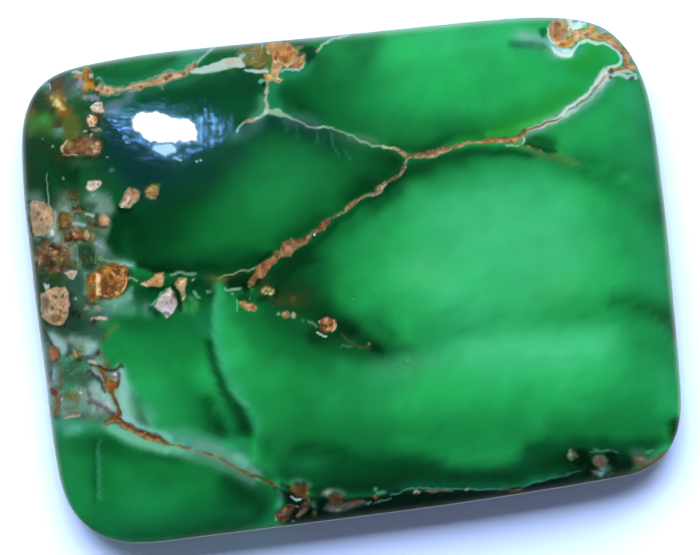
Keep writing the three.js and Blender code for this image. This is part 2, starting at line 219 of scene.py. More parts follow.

# Soft strokes: field, paint, strength, and a run of x,y,half-width. The dark tones along the front edge, in fields F, H
# and I below about y 450, are partly the stone's own dark green and partly painted shade of the dome's front slope.
TONES_AND_FRONT_SHADE = """
C leaf .9 | 240,90,50 330,150,36 370,170,20
C leaf .6 | 260,150,34 300,150,26
C fern .75 | 185,252,16 230,215,34 285,185,44 330,175,26
C sea .3 | 250,185,20 300,172,22
C grass .6 | 262,206,26 280,196,24
C jade .35 | 268,204,16 284,196,16
C forest .85 | 150,268,20 190,270,18 230,264,14 250,262,12
C bottle .55 | 150,272,10 190,274,10 230,270,8
C bottle .95 | 112,262,20 116,225,26 132,215,24 148,235,28
C bottle .7 | 168,208,22 186,196,16
C forest .75 | 205,176,22 170,238,20
C teal .95 | 110,120,26 150,160,40 196,166,26
C deep_teal .75 | 112,150,26 150,176,22
C deep_teal .6 | 205,132,28 232,150,18
C pine .85 | 150,94,24 200,96,26 250,84,24
C pine .6 | 212,150,20 240,132,20
C leaf .2 | 165,90,10 205,80,10
C pine .8 | 262,126,12 285,130,14 310,140,12 340,150,10
C deep_teal .35 | 262,122,9 290,126,9 325,136,9
C dusk .5 | 290,124,9 325,132,9 350,142,7
C forest .9 | 398,160,14 376,160,14 372,180,16 350,196,14
C bottle .8 | 392,160,10 384,168,12 362,182,12
C leaf .7 | 350,156,14 372,164,12
C forest .7 | 320,216,12 302,232,12 280,244,10
C leaf .6 | 200,262,12 240,256,12
A leaf .9 | 60,80,30 120,80,24 150,76,14 176,68,9
A forest .35 | 110,84,8 140,80,8
A grass .5 | 130,68,14 180,62,12
A surf .55 | 196,54,14 218,46,16
A sage .7 | 218,56,14 250,50,22 256,62,14
A mist .35 | 206,62,7 236,54,8
D fern .95 | 282,60,26 300,90,34 312,110,26
D leaf .95 | 316,66,20 332,92,28 348,116,26 376,130,18
D fern .7 | 352,70,20 366,98,22
D forest .9 | 276,98,16 296,104,20 320,120,12
D leaf .8 | 322,76,22 340,116,22
D grass .75 | 352,60,22 356,92,26 390,122,20
D jade .7 | 372,80,26 392,100,26
D fern .75 | 392,128,14 430,128,14 470,126,12
D grass .85 | 400,122,15 450,124,14 490,122,14 520,112,10
D fern .75 | 400,138,11 432,138,12 470,133,10 500,128,9
D apple .7 | 415,52,34 470,56,36
D spring .5 | 430,78,36 500,80,34
D apple .4 | 520,72,22 548,86,20
D grass .5 | 330,44,10 350,34,8
D milk .3 | 440,40,22 490,38,20
D lawn .6 | 505,122,12 545,108,12 570,92,12
D jade .6 | 560,66,16 590,62,12
D lawn .7 | 580,62,14 605,52,10
D haze .85 | 520,37,7 534,40,8 548,42,9 556,52,8
D milk .4 | 575,54,8
E sea .5 | 590,112,14
E fern .5 | 584,118,11
E spring .7 | 606,112,16 620,96,18 632,100,18
E milk .4 | 628,94,12 640,110,12
E jade .6 | 560,134,14 600,146,20 632,150,20
E sea .5 | 654,120,14 660,160,16 668,200,14
E spring .35 | 596,130,14 620,136,14
E fern .85 | 584,160,8 610,170,9 634,182,11 654,204,12 664,224,10
E lawn .6 | 560,142,8 545,136,8
F forest .9 | 404,172,10 390,190,12 376,204,12 352,222,12 334,236,11
F fern .95 | 412,172,15 440,164,14 480,156,11 520,150,9 560,160,8
F leaf .8 | 412,166,9 440,160,8 470,154,7
F grass .8 | 424,178,12 470,166,12 530,162,12 580,172,10
F jade .75 | 440,180,14 500,176,16 560,178,14
F fern .85 | 590,172,9 620,184,11 642,200,12 660,226,10
F grass .65 | 600,182,11 636,206,14 654,232,12
F jade .7 | 616,214,22 636,250,24 640,290,22
F jade .65 | 664,250,14 666,300,14
F forest .95 | 400,176,9 378,192,10 350,208,12 322,230,14 296,250,14 278,266,14
F bottle .9 | 312,250,12 300,262,14 284,278,13 268,288,10 300,290,18
F forest .7 | 322,262,12 318,286,14
F leaf .85 | 338,222,11 326,250,16 322,280,20 330,305,18
F grass .8 | 362,214,14 350,240,16 345,272,20 356,304,18
F jade .7 | 396,196,14 376,232,20 364,262,20 376,296,18
F milk .6 | 424,210,26 450,206,26 520,200,26 555,204,24
F cream_green .7 | 455,222,26 500,222,32 560,232,30
F cream_green .75 | 478,248,40 520,262,44 560,262,30
F milk .5 | 420,262,26 440,290,30
F cream_green .6 | 405,276,16 430,272,20 452,282,18
F sprout .35 | 418,272,14 434,276,12
F milk .5 | 460,306,26 520,300,30
F jade .55 | 400,326,14 420,330,16
F bottle .9 | 268,296,20 300,306,18 330,318,14 352,330,14 372,346,14
F shade .75 | 270,286,16 284,300,18 304,300,12
F umber .25 | 268,280,10 280,292,12 300,302,10
F forest .9 | 276,320,16 310,342,26 345,352,24 384,354,13
F forest .7 | 392,350,11 410,350,9
F leaf .7 | 262,304,12 290,334,12 300,362,14
F leaf .75 | 376,318,11 392,332,11
F leaf .6 | 228,294,12 250,296,12
F fern .85 | 240,310,16 256,330,18 276,352,18
F jade .4 | 228,350,14
F fern .6 | 320,368,14 350,368,12
F grass .7 | 262,368,20 300,388,22 340,390,22
F jade .6 | 340,374,14 372,380,22 400,376,22
F mist .3 | 380,372,14 420,362,16 440,356,12
F jade .55 | 500,316,14 480,326,18 452,330,16 420,346,12
F sea .35 | 470,326,16 440,340,14
F jade .6 | 540,316,14 580,312,14 620,306,12 680,300,12
F fern .95 | 616,304,9 640,308,12 668,314,14 684,318,14
F forest .6 | 636,312,9 664,320,9
F grass .7 | 640,326,9 600,320,9 560,326,8 520,332,7
F fern .6 | 660,344,13 676,350,12 672,374,12
F grass .8 | 622,340,12 650,350,16 672,356,14 640,372,14
F milk .6 | 450,366,16 500,362,22 560,356,24 610,348,18
F cream_green .95 | 470,350,15 510,347,20 560,348,20 596,344,16
F cream_green .5 | 476,360,20 520,372,24 560,368,20
F apple .6 | 540,388,22 580,380,22 610,366,18
F spring .7 | 440,400,24 490,402,28 530,394,24
F jade .85 | 600,402,24 640,390,28 670,380,20
F grass .6 | 610,410,16 650,404,18
F jade .8 | 570,412,20 530,416,20
F grass .85 | 270,410,24 310,406,26 350,408,26
F jade .5 | 330,396,22 380,398,24
F grass .85 | 400,430,22 450,428,24 510,428,26
F fern .8 | 290,430,20 340,430,20 380,434,20
F fern .9 | 560,430,16 600,424,22 640,424,22 670,424,16
F grass .5 | 250,384,16 262,400,16
F leaf .8 | 380,458,14 410,460,13 440,466,10
F grass .6 | 430,444,12 480,446,14 505,442,12
F forest .95 | 300,452,16 350,458,17 400,468,15 460,476,12
F bottle .75 | 330,486,14 400,482,14 460,482,12 520,478,11
F forest .8 | 480,478,12 540,466,12
F bottle .7 | 340,480,14 390,482,14 440,486,12 540,470,14
F forest .95 | 530,452,13 560,454,15 590,450,13 620,446,13 650,446,10
F bottle .85 | 556,464,13 600,470,13 640,462,12
F forest .6 | 640,446,9 664,440,9
F leaf .8 | 268,440,12 276,456,12 290,470,12
F sea .5 | 284,474,9 300,480,9
F jade .4 | 262,380,12 238,368,8
G forest .95 | 140,292,12 170,298,16 204,296,16
G bottle .5 | 150,284,10 190,286,10
G leaf .8 | 130,318,14 165,322,18 200,318,16
G sea .35 | 196,316,12 205,326,10
G grass .6 | 120,345,16 160,350,20
G fern .5 | 180,345,16 204,350,12
G jade .75 | 145,376,18 160,386,16
G fern .6 | 178,384,12 186,400,12
G spring .8 | 204,372,16 210,382,14
G jade .5 | 150,400,14 176,418,12
G jade .6 | 222,384,8 226,392,7
G leaf .95 | 206,406,12 222,412,14 236,416,12
G forest .9 | 214,424,16 232,424,15 246,420,10
G bottle .7 | 226,428,11 244,426,9
G fern .7 | 190,424,12 204,440,9
G surf .5 | 126,388,12 134,404,12 142,416,12
G haze .6 | 122,372,8 122,388,9 132,408,9 150,422,9
G mist .6 | 176,438,9 205,444,9 235,458,8
G surf .5 | 170,436,8 200,442,8 228,450,9
G sea .7 | 240,448,9 250,462,9
G forest .5 | 206,398,8 222,404,8
H jade .35 | 60,470,14 72,500,16
H mist .5 | 50,425,10 90,424,9 114,428,9
H leaf .9 | 84,446,14 116,450,16 134,456,10
H forest .5 | 96,446,9 112,448,10
H grass .7 | 70,474,18 78,495,16
H fern .8 | 98,484,12 104,506,12
H grass .65 | 126,474,14 134,492,14
H fern .6 | 170,480,18 200,478,16
H sea .35 | 136,500,14 160,504,14
H grass .5 | 150,500,14 172,494,14 190,488,12
H leaf .7 | 100,530,12 150,526,12 210,516,12
H forest .7 | 140,540,12 190,534,10 236,520,10
H forest .7 | 236,494,14 256,500,14
H bottle .6 | 190,544,10 244,530,10 268,512,8
H dusk .4 | 246,480,8 266,488,8
H surf .4 | 60,512,10 70,524,10
I ink .9 | 300,520,16 360,512,16 420,500,14 480,494,12 560,486,12
I bottle .5 | 600,480,10 660,470,10
I leaf .8 | 330,546,12 420,534,12 470,540,10
I forest .8 | 300,540,12 520,520,12 600,504,10
I grass .5 | 380,548,8 440,542,8 560,524,9
K forest .8 | 60,150,30 90,165,26
K bottle .7 | 100,120,12 104,150,12 108,170,12
K sage .95 | 92,210,22 90,240,24 88,262,18
K sage .9 | 60,215,12 62,240,12
K sage .95 | 84,312,20 80,340,24 84,380,28 84,408,26
K sage .9 | 46,350,12 50,390,14
K sage .7 | 100,290,16 84,290,12
K smoke .8 | 92,92,12 72,88,12
K moss .9 | 30,118,10 46,126,13
K sprout .5 | 28,108,6 28,130,6
K shade .8 | 44,104,8 40,110,8
K smoke .85 | 52,84,12 66,82,12
K shade .9 | 34,152,12 60,166,15 92,170,15
K bottle .9 | 44,172,14 70,178,14 100,166,11
K bottle .8 | 108,128,6 110,150,8
K forest .7 | 36,160,9 56,188,10
K shade .8 | 96,172,9 84,166,8
K mist .7 | 92,194,8 102,206,9
K shade .5 | 74,196,8 60,200,6
K shade .7 | 36,262,10 40,250,8 54,266,9
K umber .5 | 44,254,10 62,262,10
K grey_green .75 | 64,214,10 82,222,12 92,240,12
K mist .55 | 100,214,6 104,232,7 104,250,8
K mist .5 | 104,232,8 104,246,8
K shade .75 | 72,300,9 76,312,11 100,316,9
K forest .5 | 70,326,9 90,330,7
K grey_green .8 | 112,306,10 104,318,8
K mist .7 | 84,352,12 70,376,14 84,396,14 104,404,12
K grass .4 | 72,374,8
K haze .6 | 112,378,7 118,396,7 120,410,7
K forest .7 | 86,362,7 98,346,7
K mist .6 | 60,350,9 88,352,9
K haze .5 | 50,372,9 56,400,9 90,392,11
K sea .8 | 72,380,12
K lilac .4 | 48,386,9 46,402,9
K haze .5 | 116,392,9 120,404,9
K sage .6 | 130,408,9
F forest .8 | 290,474,9 310,478,9 330,474,10 350,474,10
F bottle .85 | 316,488,8 340,488,8 370,488,8 400,485,7
F forest .75 | 360,162,9 376,168,9 400,172,9 424,168,8
F fern .7 | 366,212,9 350,224,10 344,210,8
F leaf .5 | 430,172,8 460,164,8
F pit .8 | 572,462,9 590,466,9 618,462,10
F bottle .8 | 550,468,9 575,474,8 610,470,8 636,458,6
F forest .7 | 545,452,10 575,444,9 600,440,8
F bottle .7 | 296,270,11 308,262,11 280,282,10
F fern .6 | 320,370,10 300,352,10
F fern .5 | 412,150,5 430,156,4
F grass .5 | 460,432,10 470,440,8
E spring .4 | 560,140,8 585,134,9
G verdigris .5 | 128,300,8 142,300,7
G pine .5 | 176,276,6 200,278,6
C bottle .7 | 146,270,8 180,270,8 210,268,7
C bottle .5 | 240,266,8 262,256,7
C tarn .6 | 100,172,9 108,162,7
A forest .5 | 118,76,6 150,70,6 178,62,5
A cement .6 | 222,54,7 240,50,7
D leaf .5 | 352,46,10 372,40,8 345,90,14
K tarn .7 | 96,172,7 104,168,6 80,186,6
K tarn .6 | 76,264,6 78,280,7 74,292,7
K cement .6 | 48,226,6 52,236,5 60,196,6
K mist .6 | 88,352,8 102,350,6
K foam .4 | 104,406,8 96,412,6
H bottle .4 | 150,452,5 172,458,5
C pit .6 | 136,272,6 152,272,7 168,270,6
C bottle .5 | 246,270,7 262,262,6
H bottle .6 | 228,484,10 248,500,12 262,512,9
H forest .5 | 226,506,11
F pit .55 | 398,170,6 384,186,6 366,200,6
F forest .6 | 396,190,8 376,206,8
K tarn .6 | 70,326,8 84,328,8
K cement .5 | 98,228,6 106,232,5
G bottle .5 | 248,468,7 262,478,8 272,484,7
G jade .5 | 222,392,8 234,428,6
F milk .5 | 446,310,12 478,312,12
F jade .5 | 424,330,9 440,334,8
E apple .5 | 624,184,11 646,196,9
E jade .5 | 552,150,6
F forest .7 | 262,470,7 274,480,8
F fern .5 | 300,400,10 306,430,10
E apple .35 | 566,112,12 610,118,14
E jade .6 | 606,176,7 628,192,7
F jade .5 | 380,312,10 420,314,10 460,310,10
F sprout .3 | 540,296,12 570,290,12
D forest .7 | 394,145,6 430,145,6 460,140,5 490,136,5
F forest .8 | 412,168,7 440,161,7 470,154,6 500,150,6 530,153,5
C forest .6 | 382,158,8 372,172,8
E apple .4 | 560,124,12 600,126,16 626,128,12
E spring .55 | 600,172,7 622,184,8
E jade .6 | 548,149,7
G spring .6 | 222,388,8
H surf .5 | 66,428,8 88,430,7
H forest .6 | 268,500,9
C forest .5 | 250,272,7
A cement .6 | 225,49,7
"""

# Pale and coloured edges, blurred veils and glints of chalky white: paint, strength, feather, and a run of
# x,y,half-width. The faint thin pale streaks in the green between about x 245 and 352, y 122 and 162, are a painted
# reflection of the lamp in fine polish scratches. The dark veil to the lower right of the small pale flake near x 572,
# y 454 is painted shadow.
VEILS_WITH_SHEEN_AND_SHADE = """
surf .3 5 | 100,82,1 120,84,1 140,80,1 170,70,1 192,62,1
mint .15 4 | 102,96,1 130,94,1 158,88,1 184,81,1 200,74,1
slate .8 4 | 132.5,90.9,1.5 126.4,97,1.6 120.3,101.6,2 112.6,107,2.5 107.3,110.8,3
slate .7 4 | 108,109,3 116,111,2.5
forest .6 3 | 110,95,2 120,95.5,2
mint .5 5 | 262,100,1 262,112,2 254,118,1
sea .6 6 | 272.9,86.6,2 272,96,2 275.2,106.5,3
sea .6 5 | 284,74,1.5 300,72,2 309,66,1.5
sage .6 4 | 330,36,1 344,32,1
slate .4 5 | 238,136,2 248,130,3 258,124,3
slate .35 5 | 285,118,1.5 301,118,2 315,123,1.5
sage .5 4 | 352,137,1 364,139,2 374,142,1.5
surf .3 4 | 236,134,1.2 230,139,1.6
surf .3 1 | 246.9,141,.3 250,151,.3
surf .35 1 | 317,133,.3 317.6,143,.3
surf .4 1 | 331,132,.3 333.4,144,.4 338,155,.3
surf .3 1 | 344,150,.3 352,162,.3
surf .25 1 | 323,136,.3 325,147,.3
surf .25 1 | 284,122,.3 287,130,.3
surf .2 1 | 296,126,.3 299,139,.3
khaki .4 3.5 | 526,147,1 541,153.5,1.2 558,157,1.2 578,164,.8
lime .75 3 | 489,136,1 505,134,1.3 514,131.5,1.3 522,127,1.3 531,124,1.2 541,119.5,1 550,115.5,.8
lawn .5 5 | 458,140,1.2 486,137,1.5 512,131,1.5
bottle .5 4 | 528,139,1.6 538,143,2.8 550,147.4,2
forest .5 4 | 530,134,1.6 542,138,2 552,142,1.6
haze .7 4 | 522,136,1 536,129,1.8 551,121,2 563,115,3 574,108,3.4 585,101,3 596,91,3.6 606,79,5
haze .6 3.5 | 524,38,1.2 536,38.5,1.8 548,40,2
teal .42 3 | 512,44.6,1 520,45.4,2 528,45.2,1.6
teal .38 3 | 534,45,1.5 539,45.6,1.5
teal .34 2.4 | 543.8,45.4,1.2
forest .7 2.5 | 542.9,31,2.2 542.9,34,1.6
spring .5 5 | 606,53,2.5 614,56,2.5
surf .7 2.5 | 574,49,1.5 581,49.5,2
snow .8 2.2 | 556,50.5,1.8 563,52.6,3.2 570,52.6,2.8
ice .6 2 | 552,44,1.5 558,50,1.6
olive .35 5 | 228,279,1 240,278,1
ink .8 6 | 232,282,3 246,280,4 254,278,3
ink .4 6 | 350,330,4 314,336,3
olive .6 3.5 | 209,280,1.2 217,280,1.8 224,279,1.2
surf .28 3 | 215,288,.8 215.5,300,1 215.5,316,1.2 215.5,339,1.2 219,350,1.4 222,366,1.4 228,378,1 231,390,1.4 238.5,399.5,1.3 246.5,406,1.5 249.8,414,2 254,423,1.5 256,431,1.4
surf .22 5 | 218,290,1.5 219,316,2 219,339,2.5 223,352,3 229,372,3 236,388,2.5 244,398,2 252,410,2.5 258,424,2.5
haze .16 2 | 216,289,.8 215.8,316,.8 215.8,339,.9 220,352,.9 224,366,.8
haze .3 2 | 232.5,391,.9 239.5,399.5,1 247.5,406,1
bottle .7 4 | 209,344,.8 213,360,1 217,372,.8 226,394,1.2 234,404,1.5 241,412,2 247,424,2 249,432,1.5
mist .5 3 | 106,306,1.6 120,303,1.6 129,297,1.4
slate .5 3 | 100,314,2 110,311,2
haze .8 3 | 83,274,1.2 83,286,1.6 84,298,1.3
haze .6 2 | 127,294,1.2 131,289,1
haze .75 3 | 108,300.5,1.6 118,299.5,1.6 128,298,1
haze .7 3 | 119,264.5,1 126,264,1.3 133,265,1
haze .45 5 | 112,424,2 124,433,2 140,441,1.4 158,446,1.2 176,450,1.2 190,454,1
ice .6 3.5 | 119,368,.8 123,382,1.4 124,396,2 124,408,2 128,420,2 138,430,1.4
mint .7 4 | 108,425,1.2 118,432,1.6 134,439,1.6 150,444,1.5 166,450,1.2
ice .65 4 | 119,418,1.5 130,424,2 142,430,2 154,433,2 168,438,1.2
mist .7 5 | 186,444,2 205,448,2.5 224,455,2.5 240,464,2 256,472,1.5
mist .5 4.4 | 190,454,2 208,459,2 224,466,1.8 240,475,1.2 252,481,.8
mint .6 3.5 | 237,458,1.5 245,463,1.5
spring .5 4 | 228,445,2
surf .5 4 | 190,441,2
mint .6 1.6 | 375.7,489.5,.9
mint .5 1.5 | 378,494,.6 383,493.4,.6
sea .2 4 | 404,487,1.2 430,486,1.2 470,486,1.2 500,486,1
lawn .5 4 | 668,432,3 672,438,2
sprout .5 2.5 | 190,299,1 194,304.7,2 193,310,1.2
sprout .45 3 | 184.4,307,2
verdigris .75 4 | 52,329,2 62,332,3 72,330,3
tarn .7 4 | 66,300,3 74,312,5 76,324,4
verdigris .7 4 | 78,282,3 76,292,3 86,318,4 98,316,3
tarn .6 3 | 70,345,1.2 66,350,1.2
tarn .7 5 | 64,329,3 78,328,4 90,326,3
foam .8 3 | 52,336,1.6 57,343,3 62,350,2.4
cement .75 3 | 72,339.6,2 78,340,2.4
foam .65 3 | 87,342,1.6 93,346,3.2 89,350,2
verdigris .7 4 | 90,330,4 102,334,3
sea .7 5 | 66,362,3 74,370,7 74,382,6
verdigris .8 4 | 78,360,2 66,376,2 84,378,4 90,379,3
cement .6 3 | 53,369,1.8 55,381,1.8
foam .65 4 | 94,386,3 99,392,4 94,399,2.4
cement .75 4 | 80,392,3 86,398,3 76,406,3 66,410,3
verdigris .6 4 | 66,398,3 76,412,3 90,412,3
mist .7 4 | 62,404,3 92,408,3
foam .7 3 | 106,396,2.4 108,404,2.4 112,408,1.6
lilac .4 3 | 104,404,2 110,408,2
foam .45 5 | 119,376,1.4 121,386,2.6 121,398,2.8 122,408,2.4 127,418,1.6
mint .35 5 | 128,390,2 129,402,2.6 132,414,2
olive .6 3 | 69,396,2 75,397,2.4
cement .5 4 | 30,197,1.4 38,195,1.4
foam .7 3.4 | 52,231,3 55,238,2.4
cement .7 4 | 94,198,4 103,202,5 108,208,3
verdigris .8 3 | 84,206,2 92,207,2.4
tarn .8 3 | 81,251,4 87,255,6 88,263,5
cement .5 4 | 100,246,2 104,252,3 112,259,2 122,262,1.4
lilac .4 3 | 98,243,1.6 104,248,1.4
verdigris .8 4 | 76,276,4 78,286,4 74,294,3
cement .35 4 | 62,206,1.4 68,202,1.4
ice .3 2.4 | 278,490,.5 281,495,.8 279.6,502,.8 277,507,.5
sage .6 2.4 | 292,482,.5 298,480.2,.9 305,482,.9 309,484.6,.5
sage .6 2.6 | 331,490,.6 337,491,.8 343,493.6,.6
linen .6 2.6 | 325,493.4,1.6 328,491.6,1.4
ash .7 2.4 | 327,507,1.2 334,509,2.4 342,507.6,2.4 350,504.6,1.4
drab .55 3 | 352,503.6,2 360,502.8,1.6
sage .4 3 | 313,503.4,1 315,507.6,1
pit .6 6 | 574,461,3 586,466,5 588,458,3
pit .6 6 | 612,458,3 622,461,4 617,468,4
sage .35 4 | 634,454,1.2 641,453.6,1.4
drab .6 3.5 | 636,460,2 643,462,2.4
umber .6 4 | 641,467.6,2 653,464,2 662,459.4,1.4
cement .6 4 | 99,212,3 104,226,2.4
cement .5 3 | 74,230,2.4 76,224,2
mint .4 3 | 70,431,2.4 78,430,2.4
haze .5 4 | 124,432,2.4 148,436,2.4
mist .5 4 | 68,92,4 76,74,3
bottle .6 3.4 | 675,424,2.4 676,436,2.4
sage .5 3 | 601,470,2.4 607,468,1.6
cement .5 3 | 73,246,2 73,256,2
foam .45 4 | 98,364,3 96,370,2
foam .5 3 | 97,410,3
haze .5 4 | 118,308,3 130,310,3
mist .5 4 | 148,310,4
smoke .6 4 | 49,364,2.4 50,376,2.4
mint .6 4 | 172,447,2.4 180,450,2
mist .5 4 | 76,90,3
bottle .6 4 | 675,426,2.4 676,442,2.4
bottle .5 4 | 677,322,2.4 677,336,2
"""

